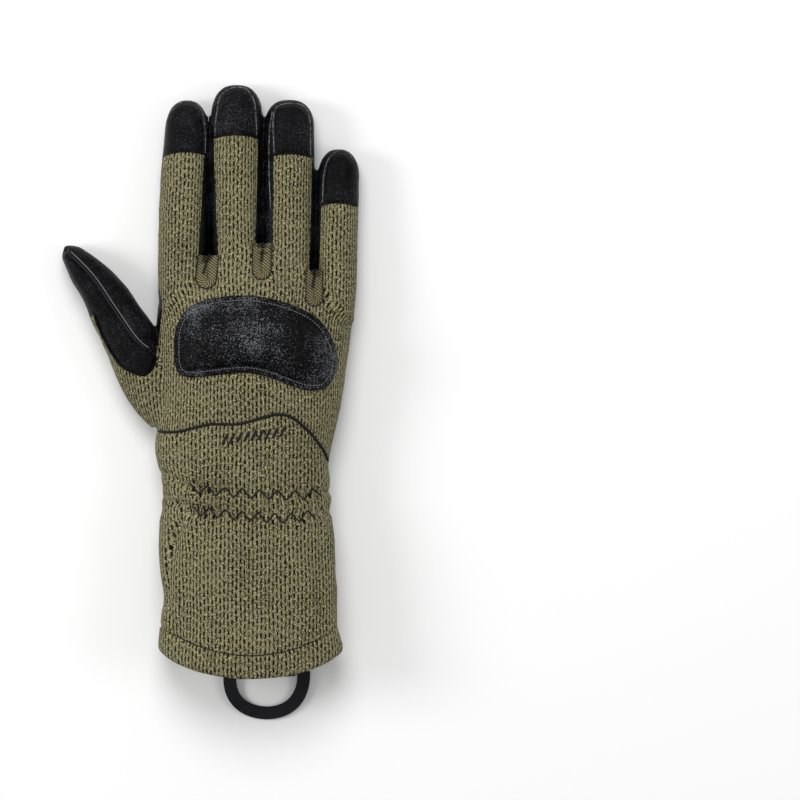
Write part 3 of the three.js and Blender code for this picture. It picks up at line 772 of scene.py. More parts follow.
# Creases across the ball of the thumb, on the palm's side
PALM_CREASES = (
    ((-43.3, 167.3), (-48, 159.5), (-52.4, 151.7), (-58.5, 144.6)),
    ((-48.4, 148.2), (-54.9, 141.1)),
    ((-30, 205), (-12, 199), (8, 200)),
    ((-26, 168), (-8, 164), (12, 167)),
)


def sculpt(form, with_seams):
    points = points_of(form)
    x, y, z = points.T
    push = 0.55 * cloud(points, 21, 3.1) + 0.28 * cloud(points, 8, 9.7)
    on_back = z > SEAM_HEIGHT
    leathery = (y > 200) | (z < SEAM_HEIGHT)
    push[leathery] *= 0.7
    # the gathered wrist: drawn in along the zigzags, with puckers running away from them
    for line, (ends, pitch) in zip(zigzag_lines, ZIGZAGS):
        away = distance_to(line, points)
        pucker = np.cos(2 * np.pi * x / (pitch / 2) + 1.5 * cloud(points, 12, 5.2))
        push += on_back * (0.45 * pucker * dip(away, 5.5) - 0.75 * dip(away, 3.2))
    for px, py, size, depth in PUCKERS:
        away = np.hypot((x - px) * 0.75, (y - py) * 1.5)
        push -= on_back * depth * dip(away, size)
    # soft lengthwise folds in the cuff
    for line, width, depth in CUFF_FOLDS:
        away = distance_to(np.array(line, float), points)
        push -= on_back * depth * dip(away, width)
    # cross folds on the fingers' backs
    for finger in fingers:
        near = on_back & (np.abs(x - finger.centre) < finger.width / 2) & (y > KNUCKLE_LINE - 20)
        for share, depth in ((0.3, 0.35), (0.42, 0.3), (0.6, 0.25)):
            bend_y = KNUCKLE_LINE + share * (finger.tip - KNUCKLE_LINE) + 0.02 * (x - finger.centre) ** 2
            push -= near * depth * dip(y - bend_y, 3.0)
    if with_seams:
        push -= seam_pull(points)
    normals = normals_of(form)
    floor = 0.0 if with_seams else WALL
    moved = points + normals * push[:, None]
    moved[:, 2] = np.maximum(moved[:, 2], floor)
    move_points(form, moved)


CUFF_FOLDS = (
    (((-36, 79), (-40.5, 60), (-42.5, 38)), 2.2, 1.2),
    (((-31, 78), (-34, 60), (-36.5, 34)), 3.0, -0.7),
    (((36, 80), (34, 40)), 3.0, 0.5),
    (((-14, 74), (-10, 40)), 4.5, 0.4),
    (((18, 76), (15, 48)), 4.0, 0.35),
)


def tree_of(piece):
    """For finding a piece's surface from points in the plan's millimetres."""
    faces = [tuple(polygon.vertices) for polygon in piece.data.polygons]
    return BVHTree.FromPolygons(points_of(piece).tolist(), faces)


def keep_walls(form, hollow):
    """Lifts the skin wherever it has come too near to the hollow inside it."""
    hollow_tree = tree_of(hollow)
    points = points_of(form)
    for i, point in enumerate(points.tolist()):
        place, normal, face, distance = hollow_tree.find_nearest(point)
        if (Vector(point) - place).dot(normal) < THINNEST_WALL:
            points[i] = place + normal * THINNEST_WALL
    points[:, 2] = np.maximum(points[:, 2], 0)
    move_points(form, points)


outer = filled_form("outer", 0, 0.8, 1.6, 8)
sculpt(outer, True)
inner = filled_form("inner", WALL, 1.6, 2.0, 3)
sculpt(inner, False)
keep_walls(outer, inner)
skin = tree_of(outer)


# Threads under the glove stay this far above the surface it lies on
RESTING = 0.3


def seat(x, y):
    """The skin's height over a point of the plan."""
    hit = skin.ray_cast(Vector((x, y, 150.0)), Vector((0, 0, -1)))
    return hit[0].z if hit[0] else 0.0


def seated(line, lift=0.0, from_below=False):
    """A plan line laid on the skin and lifted off it."""
    start, way = (-50.0, 1) if from_below else (150.0, -1)
    placed = []
    for x, y in np.asarray(line)[:, :2]:
        place, normal, face, distance = skin.ray_cast(Vector((x, y, start)), Vector((0, 0, way)))
        placed.append((x, y, 0.0) if place is None else place + normal * lift)
    placed = np.array([tuple(point) for point in placed])
    if from_below:
        placed[:, 2] = np.maximum(placed[:, 2], RESTING)
    return placed


# Cutting the panels

cloth = copy_of(outer, "cloth")
cut(cloth, inner, "DIFFERENCE")
# the fingers part from each other down to their crotches, each leaning over the gap a little
SLOT_SLANT = 0.07
for crotch_x, crotch_y, name in crotches:
    slot = [(crotch_x - 0.14, crotch_y + 2.2), (crotch_x + 0.14, crotch_y + 2.2),
            (crotch_x + 0.14, FAR * 2), (crotch_x - 0.14, FAR * 2)]
    blade = prism(slot, UNDER, OVER, SLOT_SLANT)
    cut(cloth, blade, "DIFFERENCE")
    remove(blade)


CRUMB_SHARE = 0.04


def drop_crumbs(piece):
    """Drops the crumbs that a blade leaves beside a piece."""
    mesh = bmesh.new()
    mesh.from_mesh(piece.data)
    mesh.verts.ensure_lookup_table()
    seen = np.zeros(len(mesh.verts), bool)
    groups = []
    for start in mesh.verts:
        if seen[start.index]:
            continue
        seen[start.index] = True
        stack, group = [start], []
        while stack:
            corner = stack.pop()
            group.append(corner)
            for edge in corner.link_edges:
                other = edge.other_vert(corner)
                if not seen[other.index]:
                    seen[other.index] = True
                    stack.append(other)
        groups.append(group)
    crumb = CRUMB_SHARE * len(mesh.verts)
    crumbs = [corner for group in groups if len(group) < crumb for corner in group]
    if crumbs:
        bmesh.ops.delete(mesh, geom=crumbs, context="VERTS")
        mesh.to_mesh(piece.data)
    mesh.free()


panels = {}


def cut_panel(name, source, outline, low=UNDER, high=OVER):
    """Cuts one panel out of a sheet, and trims the sheet back by the seam's gap."""
    piece = copy_of(source, name)
    blade = prism(outline, low, high)
    cut(piece, blade, "INTERSECT")
    remove(blade)
    drop_crumbs(piece)
    blade = prism(grown(outline, PANEL_GAP), low - PANEL_GAP, high + PANEL_GAP)
    cut(source, blade, "DIFFERENCE")
    remove(blade)
    panels[name] = piece
    return piece


for i, (crotch_x, crotch_y, name) in enumerate(crotches):
    cut_panel(name + "_gusset", cloth, gusset_outline(i))
cut_panel("thumb_palm_panel", cloth, list(palm_seam) + list(leather_edge) + thumb_front_end, high=SEAM_HEIGHT)
palm_side = -PALM_WIDTH / 2 - 2
palm_outline = [(palm_seam[-1][0], palm_hem_far), (FAR, palm_hem_far), (FAR, 2 * FAR), (palm_side, 2 * FAR)]
palm_outline += [(palm_side, palm_seam[0][1] + 2)] + list(palm_seam)
cut_panel("palm_panel", cloth, palm_outline, high=SEAM_HEIGHT)
palm_hem_outline = [(palm_seam[-1][0], palm_hem_near), (0.36 * PALM_WIDTH, palm_hem_near),
                    (0.36 * PALM_WIDTH, palm_hem_far - 0.1), (palm_seam[-1][0], palm_hem_far - 0.1)]
cut_panel("palm_hem", cloth, palm_hem_outline, high=SEAM_HEIGHT)
back_outline = [(-FAR, wrist_seam[0][1])] + list(wrist_seam)
back_outline += [(FAR, wrist_seam[-1][1] - 8), (FAR, 2 * FAR), (-FAR, 2 * FAR)]
back = cut_panel("back_panel", cloth, back_outline)
hem_line = [(x, hem_seam(x)) for x in np.linspace(-60, 60, 49)]
blade = prism([(-60, -60), (60, -60)] + hem_line[::-1], UNDER, OVER)
cut(cloth, blade, "DIFFERENCE")
remove(blade)
drop_crumbs(cloth)
cloth.name = cloth.data.name = "cuff_knit"
panels["cuff"] = cloth

for i, finger in enumerate(fingers):
    for side, root_edge, tip_edge in strip_edges(finger):
        neighbour = fingers[i + side].name
        crotch_x, crotch_y, name = crotches[i if side > 0 else i - 1]
        name = f"{finger.name}_fourchette"
        if 0 < i < 3:
            name += f"_{neighbour}_side"
        near, far = crotch_y + 3.2, finger.tip - finger.cap + 5
        outline = [(root_edge, near), (crotch_x, near), (crotch_x, far), (tip_edge, far)]
        cut_panel(name, back, outline)
    edge_line = cap_edge(finger)
    outline = edge_line + [(edge_line[-1][0], finger.tip + 2), (edge_line[0][0], finger.tip + 2)]
    cut_panel(finger.name + "_cap", back, outline)
cut_panel("thumb_fourchette", back, thumb_inner_end + list(thumb_seam[::-1]))
thumb_back_outline = list(thumb_seam) + thumb_outer_end + list(thumb_border)
cut_panel("thumb_back_panel", back, thumb_back_outline)
# the palm's leather turns up beside the index finger's root
SIDE_LEATHER = [
    (-49, 202.5), (-46.9, 198), (-45.4, 192), (-45, 186), (-45.7, 180.4), (-46.2, 174), (-46.6, 168),
]
side_leather_edge = list(curve_through(SIDE_LEATHER, 1.2))
cut_panel("index_side_leather", back, side_leather_edge + [(-60, 168), (-60, 202.5)], low=2.0)
drop_crumbs(back)


# The knit's own directions: round the section, and along the hand, both in millimetres

ASPECTS = np.linspace(0.1, 2.6, 51)
TURNS = np.linspace(0, np.pi / 2, 91)


def quarter_arcs():
    """Arc length from the top of a rounded quarter one unit wide, for each height and direction."""
    t = np.linspace(0, np.pi / 2, 400)
    rows = []
    for aspect in ASPECTS:
        x = np.sin(t) ** (2 / SQUARENESS)
        z = aspect * np.maximum(np.cos(t), 0) ** (2 / SQUARENESS)
        run = np.concatenate([[0], np.cumsum(np.hypot(np.diff(x), np.diff(z)))])
        rows.append(np.interp(TURNS, np.arctan2(x, z), run))
    return np.array(rows)


QUARTER_ARCS = quarter_arcs()


def arc_from_top(x, z, half, height):
    """Arc length from a quarter's top towards a point beside it."""
    turn = np.clip(np.arctan2(np.abs(x), np.maximum(z, 1e-6)), 0, np.pi / 2)
    aspect = np.clip(height / half, ASPECTS[0], ASPECTS[-1])
    row = (aspect - ASPECTS[0]) / (ASPECTS[1] - ASPECTS[0])
    column = turn / (TURNS[1] - TURNS[0])
    i = np.clip(row.astype(int), 0, len(ASPECTS) - 2)
    j = np.clip(column.astype(int), 0, len(TURNS) - 2)
    a, b = row - i, column - j
    arcs = QUARTER_ARCS
    top = arcs[i, j] * (1 - b) + arcs[i, j + 1] * b
    bottom = arcs[i + 1, j] * (1 - b) + arcs[i + 1, j + 1] * b
    return half * (top * (1 - a) + bottom * a)


def round_section(x, z, left, right, low, high, widest):
    """How far round a section a point lies from its top line, and the length of that half."""
    half = np.where(x > 0, right, left)
    middle = low + (high - low) * widest
    above, below = high - middle, middle - low
    upper = arc_from_top(x, z - middle, half, above)
    side = arc_from_top(np.full_like(x, 1e3), np.zeros_like(x), half, above)
    deep = arc_from_top(np.full_like(x, 1e3), np.zeros_like(x), half, below)
    lower = side + deep - arc_from_top(x, middle - z, half, below)
    return np.sign(x) * np.where(z > middle, upper, lower), side + deep


def unbent(x, y):
    """How far along the body's own sections a point lies, before they are bent at the knuckles."""
    straight = y.copy()
    for unused in range(8):
        straight = y + knuckle_sag(x, straight)
    return straight


def weave_of(points):
    """Round and along for each point of the knit, in millimetres."""
    x, y, z = points.T
    straight = unbent(x, y)
    row = {key: smooth_between(straight, BODY["y"], values) for key, values in BODY.items() if key != "y"}
    u, half_girth = round_section(x, z, row["left"], row["right"], row["low"], row["high"], row["widest"])
    # past the section's own side the wales go on at the same pitch
    u += np.sign(x) * np.maximum(np.abs(x) - np.where(x > 0, row["right"], row["left"]), 0)
    return u, y, half_girth


DRAPE = 0.75


def weave_on_back(points):
    """The same for the back, where the wales run straight up the hand and up each finger."""
    x, y, z = points.T
    straight = unbent(x, y)
    hand = x + np.tanh(x / 5) * DRAPE * (smooth_between(straight, BODY["y"], BODY["high"]) - z)
    u = hand.copy()
    past_knuckles = np.clip((straight - KNUCKLE_LINE + 14) / 18, 0, 1)
    for finger in fingers:
        left, right = finger.limits()
        share = past_knuckles ** 2 * (3 - 2 * past_knuckles) * ((x > left) & (x < right))
        at = np.array([crotch_height(finger.centre) - 4])
        knuckle_top = smooth_between(unbent(np.array([finger.centre]), at), BODY["y"], BODY["high"])[0]
        offset = math.tanh(finger.centre / 5) * DRAPE * (knuckle_top - seat(finger.centre, at[0]))
        top = smooth_between(finger.shaft(y), FINGER["at"], FINGER["top"]) * FINGER_HEIGHT
        across = x - finger.middle(y)
        along_finger = finger.centre + offset + across + np.tanh(across / 5) * DRAPE * (top - z)
        u += share * (along_finger - hand)
    return u, y, np.full(len(points), 1e6)


def lay_weave(piece, u, v, half_girth):
    mesh = piece.data
    corners = np.empty(len(mesh.loops), int)
    mesh.loops.foreach_get("vertex_index", corners)
    starts = np.empty(len(mesh.polygons), int)
    mesh.polygons.foreach_get("loop_start", starts)
    totals = np.empty(len(mesh.polygons), int)
    mesh.polygons.foreach_get("loop_total", totals)
    first = np.repeat(corners[starts], totals)
    turns = np.round((u[first] - u[corners]) / np.maximum(2 * half_girth[corners], 1))
    shares = np.stack([u[corners] + turns * 2 * half_girth[corners], v[corners]], axis=1)
    layer = mesh.uv_layers.new(name="weave")
    layer.data.foreach_set("uv", shares.ravel())


def lay_gusset_weave(piece, i):
    """Round the U and outwards from its slit, in millimetres, for ribs that fan round the crotch."""
    x, y, z = points_of(piece).T
    crotch_x, crotch_y, name = crotches[i]
    half, shift, length = GUSSETS[i]
    across = x - crotch_x - shift * 0.5
    above = y - (crotch_y - length + half)
    bend = 0.7 * half
    run = np.where(above > 0, np.sign(across) * (above + bend * np.pi / 2), bend * np.arctan2(across, -above))
    spread = np.where(above > 0, np.abs(across), np.hypot(across, above))
    mesh = piece.data
    corners = np.empty(len(mesh.loops), int)
    mesh.loops.foreach_get("vertex_index", corners)
    layer = mesh.uv_layers.new(name="weave")
    layer.data.foreach_set("uv", np.stack([run + 0.8 * spread, spread], axis=1)[corners].ravel())


lay_weave(panels["back_panel"], *weave_on_back(points_of(panels["back_panel"])))
lay_weave(panels["cuff"], *weave_of(points_of(panels["cuff"])))
for i, (crotch_x, crotch_y, name) in enumerate(crotches):
    lay_gusset_weave(panels[name + "_gusset"], i)


# The hem: a folded band with a rounded rim

def hem_band():
    width = HEM_WIDTH - 0.12
    PROFILE = [
        (width, 0.5), (width - 0.7, 0.0), (width * 0.5, -0.3), (1.4, -0.4), (0.35, 0.0), (0.0, 0.9),
        (0.35, 1.9), (1.4, 2.35), (width * 0.5, 2.45), (width - 0.8, 2.4), (width, 1.7), (width, 1.0),
    ]
    profile = curve_through(PROFILE, 0.55, closed=True)

    def place(round_share, long_share):
        angle = turn_of(round_share)
        at = long_share * (len(profile) - 1)
        from_edge = np.interp(at, np.arange(len(profile)), profile[:, 0])
        inset = np.interp(at, np.arange(len(profile)), profile[:, 1])
        x, z = body_section(angle, np.full_like(angle, 8.0), inset)
        y = hem_edge(x) + from_edge * (hem_seam(x) - hem_edge(x)) / HEM_WIDTH
        x, z = body_section(angle, y, inset)
        points = np.stack([x, y, z], axis=1)
        out = np.stack([np.cos(angle), np.zeros_like(x), np.sin(angle)], axis=1)
        push = 0.55 * cloud(points, 21, 3.1) + 0.28 * cloud(points, 8, 9.7) + 0.12 * cloud(points, 3, 2.2)
        moved = points + out * push[:, None]
        moved[:, 2] = np.maximum(moved[:, 2], STRAP_CLEARANCE - 0.2 + inset.clip(0, 3))
        return moved

    band = grid_piece("hem_band", place, 420, len(profile), round_columns=True, round_rows=True)
    lay_weave(band, *weave_of(points_of(band)))
    return band


panels["cuff_hem"] = hem_band()
side_leather = panels.pop("index_side_leather")


# Padded knuckle guard with its flat sewn edge

def guard_profile(distance):
    """Height over the back at a distance from the guard's edge."""
    edge = GUARD_EDGE_THICKNESS * np.sqrt(np.clip(1 - (1 - np.clip(distance / 0.9, 0, 1)) ** 2, 0, 1))
    over = np.clip(distance - GUARD_STITCH_INSET, 0, None)
    pad = (GUARD_THICKNESS - GUARD_EDGE_THICKNESS) * (1 - np.exp(-((over / 6.0) ** 1.4)))
    stitched = 0.25 * dip(distance - GUARD_STITCH_INSET, 0.4)
    stitched += 0.8 * dip(distance - GUARD_STITCH_INSET - 1.1, 0.65)
    return edge + pad - stitched


def knuckle_guard():
    centre = guard_outline.mean(axis=0)
    count = len(guard_outline)
    shrinks = np.concatenate([np.linspace(0, 0.34, 34), np.linspace(0.37, 0.985, 24)])
    plan_points = []
    for shrink in shrinks:
        plan_points.append(guard_outline + (centre - guard_outline) * shrink)
    plan_points = np.vstack(plan_points + [centre[None, :]])
    distance = distance_to(np.vstack([guard_outline, guard_outline[:1]]), plan_points)
    base = np.array([seat(x, y) for x, y in plan_points])
    soft = np.stack([plan_points[:, 0], plan_points[:, 1], np.zeros(len(plan_points))], axis=1)
    lift = guard_profile(distance) + 0.25 * cloud(soft, 14, 4.4) * np.clip((distance - 4) / 6, 0, 1)
    top = np.column_stack([plan_points, base + 0.35 + lift])
    under = np.column_stack([plan_points, base + 0.15])
    faces = []
    total = len(plan_points)
    for layer, forwards in ((0, True), (total, False)):
        for ring in range(len(shrinks) - 1):
            for i in range(count):
                j = (i + 1) % count
                quad = [ring * count + i, ring * count + j, (ring + 1) * count + j, (ring + 1) * count + i]
                quad = [layer + corner for corner in quad]
                faces.append(quad if forwards else quad[::-1])
        last = (len(shrinks) - 1) * count
        for i in range(count):
            tri = [layer + last + i, layer + last + (i + 1) % count, layer + total - 1]
            faces.append(tri if forwards else tri[::-1])
    for i in range(count):
        j = (i + 1) % count
        faces.append([j, i, total + i, total + j])
    piece = mesh_piece("guard_pad", np.vstack([top, under]), faces)
    edit(piece, (bpy.ops.mesh.normals_make_consistent, {"inside": False}))
    return piece


panels["knuckle_guard"] = knuckle_guard()
guard_skin = tree_of(panels["knuckle_guard"])


def seat_on_guard(x, y):
    hit = guard_skin.ray_cast(Vector((x, y, 150.0)), Vector((0, 0, -1)))
    return hit[0].z if hit[0] else seat(x, y)


# Threads and cords

def frames_along(line):
    """Sideways and upward directions for each point of a line."""
    along = np.gradient(line, axis=0)
    along /= np.maximum(np.linalg.norm(along, axis=1), 1e-9)[:, None]
    up = np.tile([0.0, 0.0, 1.0], (len(line), 1))
    side = np.cross(along, up)
    side /= np.maximum(np.linalg.norm(side, axis=1), 1e-9)[:, None]
    return side, np.cross(side, along)


def round_cord(name, line, radius, sides=10):
    """A cord along a line, its ends drawn in to a point."""
    line = np.asarray(line, float)
    side, up = frames_along(line)
    size = np.full(len(line), radius)
    size[0] = size[-1] = radius * 0.35
    turns = np.linspace(0, 2 * np.pi, sides, endpoint=False)
    points = []
    for centre, across, rise, r in zip(line, side, up, size):
        points += [centre + r * (math.cos(t) * across + math.sin(t) * rise) for t in turns]
    faces = []
    for ring in range(len(line) - 1):
        for i in range(sides):
            j = (i + 1) % sides
            a = ring * sides
            faces.append([a + i, a + j, a + sides + j, a + sides + i])
    faces.append(list(range(sides))[::-1])
    faces.append(list(range((len(line) - 1) * sides, len(line) * sides)))
    piece = mesh_piece(name, points, faces)
    edit(piece, (bpy.ops.mesh.normals_make_consistent, {"inside": False}))
    return piece


CAPSULE = ((0.0, 0.0), (0.1, 0.75), (0.5, 1.0), (0.9, 0.75), (1.0, 0.0))
CAPSULE_SIDES = 6


class Threads:
    """Short stitches gathered into one piece."""

    def __init__(self):
        self.points = []
        self.faces = []

    def stitch(self, start, end, radius, arch):
        start, end = np.asarray(start, float), np.asarray(end, float)
        along = end - start
        length = np.linalg.norm(along)
        if length < 1e-6:
            return
        along = along / length
        side = np.cross(along, [0.0, 0.0, 1.0])
        side /= max(np.linalg.norm(side), 1e-9)
        up = np.cross(side, along)
        first = len(self.points)
        self.points.append(start)
        for share, size in CAPSULE[1:-1]:
            middle = start + (end - start) * share + up * arch * math.sin(math.pi * share)
            for i in range(CAPSULE_SIDES):
                turn = 2 * math.pi * i / CAPSULE_SIDES
                self.points.append(middle + radius * size * (math.cos(turn) * side + math.sin(turn) * up))
        self.points.append(end)
        last = len(self.points) - 1
        for i in range(CAPSULE_SIDES):
            j = (i + 1) % CAPSULE_SIDES
            self.faces.append([first, first + 1 + j, first + 1 + i])
            for ring in range(2):
                a = first + 1 + ring * CAPSULE_SIDES
                self.faces.append([a + i, a + j, a + CAPSULE_SIDES + j, a + CAPSULE_SIDES + i])
            a = first + 1 + 2 * CAPSULE_SIDES
            self.faces.append([a + i, a + j, last])

    def run(self, line, length=2.2, gap=0.7, radius=0.24, arch=0.12):
        """A row of stitches along a seated line."""
        line = spaced(line, 0.5)
        per_stitch = max(int(round((length + gap) / 0.5)), 2)
        long = max(int(round(length / 0.5)), 1)
        for i in range(0, len(line) - long, per_stitch):
            self.stitch(line[i], line[i + long], radius, arch)

    def chain(self, line, step, radius):
        """Stitches end to end, so that they read as one line."""
        line = spaced(line, step)
        for start, end in zip(line, line[1:]):
            reach = (end - start) * 0.12
            self.stitch(start - reach, end + reach, radius, 0.0)

    def piece(self, name):
        piece = mesh_piece(name, self.points, self.faces)
        edit(piece, (bpy.ops.mesh.normals_make_consistent, {"inside": False}))
        return piece


# Zigzag rows at the gathered wrist
zigzag = Threads()
for line, (ends, pitch) in zip(zigzag_lines, ZIGZAGS):
    left, right = line[0, 0], line[-1, 0]
    corners = []
    count = int((right - left) / (pitch / 2))
    for i in range(count + 1):
        x = left + i * pitch / 2
        y = np.interp(x, line[:, 0], line[:, 1]) + (ZIGZAG_HEIGHT / 2) * (1 if i % 2 == 0 else -1)
        corners.append((x, y))
    for start, end in zip(corners, corners[1:]):
        zigzag.chain(seated(spaced([start, end], 0.8), 0.42), 2.2, 0.46)
details = {"zigzag_threads": zigzag.piece("zigzag_threads"), "index_side_leather": side_leather}

# Topstitching on the guard
guard_threads = Threads()
stitch_row = grown(guard_outline, -GUARD_STITCH_INSET)
stitch_row = np.vstack([stitch_row, stitch_row[:1]])
stitch_row = np.array([(x, y, seat_on_guard(x, y) + 0.16) for x, y in spaced(stitch_row, 0.5)])
guard_threads.run(stitch_row, length=1.0, gap=0.5, radius=0.2)
details["guard_topstitch"] = guard_threads.piece("guard_topstitch")

# The piping over the wrist seam
visible_seam = wrist_seam[wrist_seam[:, 0] > PIPING_START * PALM_WIDTH / 2]
visible_seam = visible_seam[[seat(x, y) > SEAM_HEIGHT - 2 for x, y in visible_seam]]
panels["wrist_piping"] = round_cord("piping_cord", seated(visible_seam, PIPING_RADIUS * 0.7), PIPING_RADIUS)

# The hem's stitch line, the U round each crotch and the thumb's seam
hem_stitches = Threads()
hem_row = [(x, hem_seam(x)) for x in np.linspace(-0.85 * CUFF_HALF, 0.92 * CUFF_HALF, 150)]
hem_stitches.chain(seated(hem_row, 0.3), 2.2, 0.34)
under_row = [(x, hem_seam(x)) for x in np.linspace(-0.9 * CUFF_HALF, 0.9 * CUFF_HALF, 150)]
hem_stitches.run(seated(under_row, 0.2, True), length=2.5, gap=0.3, radius=0.3, arch=0.0)
details["hem_stitches"] = hem_stitches.piece("hem_stitches")
# how far the lower end of each crotch's slit lies towards the thumb
SLIT_LEANS = (2.6, 0.1, 1.2)
crotch_stitches = Threads()
for i in range(len(crotches)):
    outline = gusset_outline(i)
    crotch_stitches.chain(seated(spaced([outline[14]] + outline[:14], 0.4), 0.3), 1.4, 0.34)
    crotch_x, crotch_y, name = crotches[i]
    slit_ends = [(crotch_x + 0.5, crotch_y + 4), (crotch_x - SLIT_LEANS[i], crotch_y - 6.4)]
    slit_line = seated(spaced(slit_ends, 0.8))
    # a black cord along the crotch's slit: painted shade in the groove
    details[name + "_slit_crease"] = round_cord("crease", slit_line, 0.7, 8)
details["crotch_stitches"] = crotch_stitches.piece("crotch_stitches")
thumb_stitches = Threads()
thumb_stitches.chain(seated(thumb_seam[3:-3], 0.15), 2.0, 0.24)
details["thumb_stitches"] = thumb_stitches.piece("thumb_stitches")

# A plain row of slanted bars worked in thread below the piping
MARK_BARS = 9
MARK_PITCH = 3.6
marks = Threads()
for bar in range(MARK_BARS):
    x = -13 + bar * MARK_PITCH
    y = 121.4 + 0.13 * (x + 13)
    for shift in (-0.45, 0, 0.45):
        bar_line = seated(spaced([(x - 1.2 + shift, y - 2.4), (x + 1.2 + shift, y + 2.4)], 0.5), 0.12)
        marks.chain(bar_line, 2.7, 0.32)
details["thread_bars"] = marks.piece("thread_bars")

# A black cord in the groove beside the thumb's seam: painted shade in the crease
thumb_painted_shade_line = seated(thumb_seam[3:-3] + np.array([-1.2, -0.85]), 0.05)
details["thumb_crease"] = round_cord("crease", thumb_painted_shade_line, 0.5, 8)

# Stitches on the palm's side: beside the seams, round the strap's foot and under the palm's hem
palm_stitches = Threads()
for line in (palm_seam, leather_edge):
    palm_row = seated(line + np.array([0.0, -1.4]), 0.05, True)
    palm_stitches.run(palm_row, length=1.6, gap=0.7, radius=0.2, arch=0.0)
hem_edge_row = [(x, palm_hem_near + 1.4) for x in np.linspace(palm_seam[-1][0] + 1, 0.35 * PALM_WIDTH, 90)]
palm_stitches.run(seated(hem_edge_row, 0.05, True), length=1.6, gap=0.7, radius=0.2, arch=0.0)
details["palm_stitches"] = palm_stitches.piece("palm_stitches")
strap_stitches = Threads()
STRAP_HOLDS = (
    ((22.3, 22.7), (31.2, 18.1), (31.9, 16.1), (33.6, 7.8), (23.3, 4.5)),
    ((-8.1, 20.7), (-13.4, 18.1), (-17, 14.6), (-18.4, 4), (-6.6, 3)),
)
for hold in STRAP_HOLDS:
    hold_line = seated(curve_through(hold, 0.5), 0.05, True)
    strap_stitches.run(hold_line, length=1.8, gap=0.6, radius=0.22, arch=0.0)
details["strap_stitches"] = strap_stitches.piece("strap_stitches")

# Caps' turned edges: raised cords painted light as a highlight, black cords inside as painted crease shade
for finger in fingers:
    cap_shade_line = []
    for x, y in cap_seams[finger.name]:
        middle = finger.middle(y)
        cap_shade_line.append((middle + (x - middle) * 0.93, y - 0.6))
    # a black cord in the cap seam's crease: painted shade
    details[finger.name + "_cap_crease"] = round_cord("crease", seated(cap_shade_line, 0.0), 0.34, 8)
    edge_line = seated(cap_seams[finger.name], 0.05)
    details[finger.name + "_cap_edge"] = round_cord("turned_edge", edge_line, 0.25, 8)
details["ring_strip_edge"] = round_cord("turned_edge", seated(ring_strip_edge, 0.05), 0.25, 8)

# Rolled edges of the caps and of the thumb's leather
for finger in fingers:
    edge_line = []
    for x, y in curve_through(cap_edge(finger), 0.8):
        if abs(x - finger.middle(y)) < finger.width / 2 - 0.9:
            edge_line.append((x, y))
    details[finger.name + "_cap_welt"] = round_cord("welt", seated(edge_line, 0.2), 0.5)
thumb_welt_line = [point for point in thumb_border if seat(*point) > SEAM_HEIGHT - 1]
details["thumb_welt"] = round_cord("welt", seated(thumb_welt_line, 0.2), 0.6)


# Strap patch under the cuff, and the pull loop

def soften_edges(piece, width, segments, angle):
    apply_modifier(piece, "BEVEL", width=width * MM, segments=segments, limit_method="ANGLE",
                   angle_limit=math.radians(angle))


def strap_patch():
    half, foot, flat = STRAP_WIDTH / 2, 0.94 * STRAP_WIDTH / 2, 0.4 * STRAP_WIDTH / 2
    shoulder = 0.9 * STRAP_LENGTH
    turns = np.linspace(0, 1, 9)
    corner = []
    for t in turns:
        across = (1 - t) ** 2 * half + 2 * t * (1 - t) * half + t * t * flat
        along = (1 - t) ** 2 * shoulder + 2 * t * (1 - t) * STRAP_LENGTH + t * t * STRAP_LENGTH
        corner.append((across, along))
    outline = [(-foot, 0), (foot, 0)] + corner + [(-x, y) for x, y in corner[::-1]]
    cos, sin = math.cos(STRAP_TURN), math.sin(STRAP_TURN)
    outline = [(STRAP_CENTRE + x * cos - y * sin, STRAP_START + x * sin + y * cos) for x, y in outline]
    piece = prism(outline, 0.15, STRAP_THICKNESS)
    piece.name = piece.data.name = "strap_felt"
    soften_edges(piece, 0.35, 3, 50)
    return piece


def on_strap(x, y):
    cos, sin = math.cos(STRAP_TURN), math.sin(STRAP_TURN)
    return STRAP_CENTRE + x * cos - y * sin, STRAP_START + x * sin + y * cos


def strap_motif():
    """Three printed chevrons and two bars in bright green on the felt."""
    shapes = []
    for foot in (50, 56, 62):
        head = foot + 3.2
        shapes.append([(-7, foot), (0, foot + 5), (7, foot), (7, head), (0, head + 5), (-7, head)])
    for foot, half in ((42.5, 7), (38.5, 4.5)):
        shapes.append([(-half, foot), (half, foot), (half, foot + 2), (-half, foot + 2)])
    bars = []
    for shape in shapes:
        bars.append(prism([on_strap(x, y) for x, y in shape], 0.03, 0.4))
    select_only(*bars)
    bpy.ops.object.join()
    motif = bpy.context.object
    soften_edges(motif, 0.1, 2, 60)
    return motif


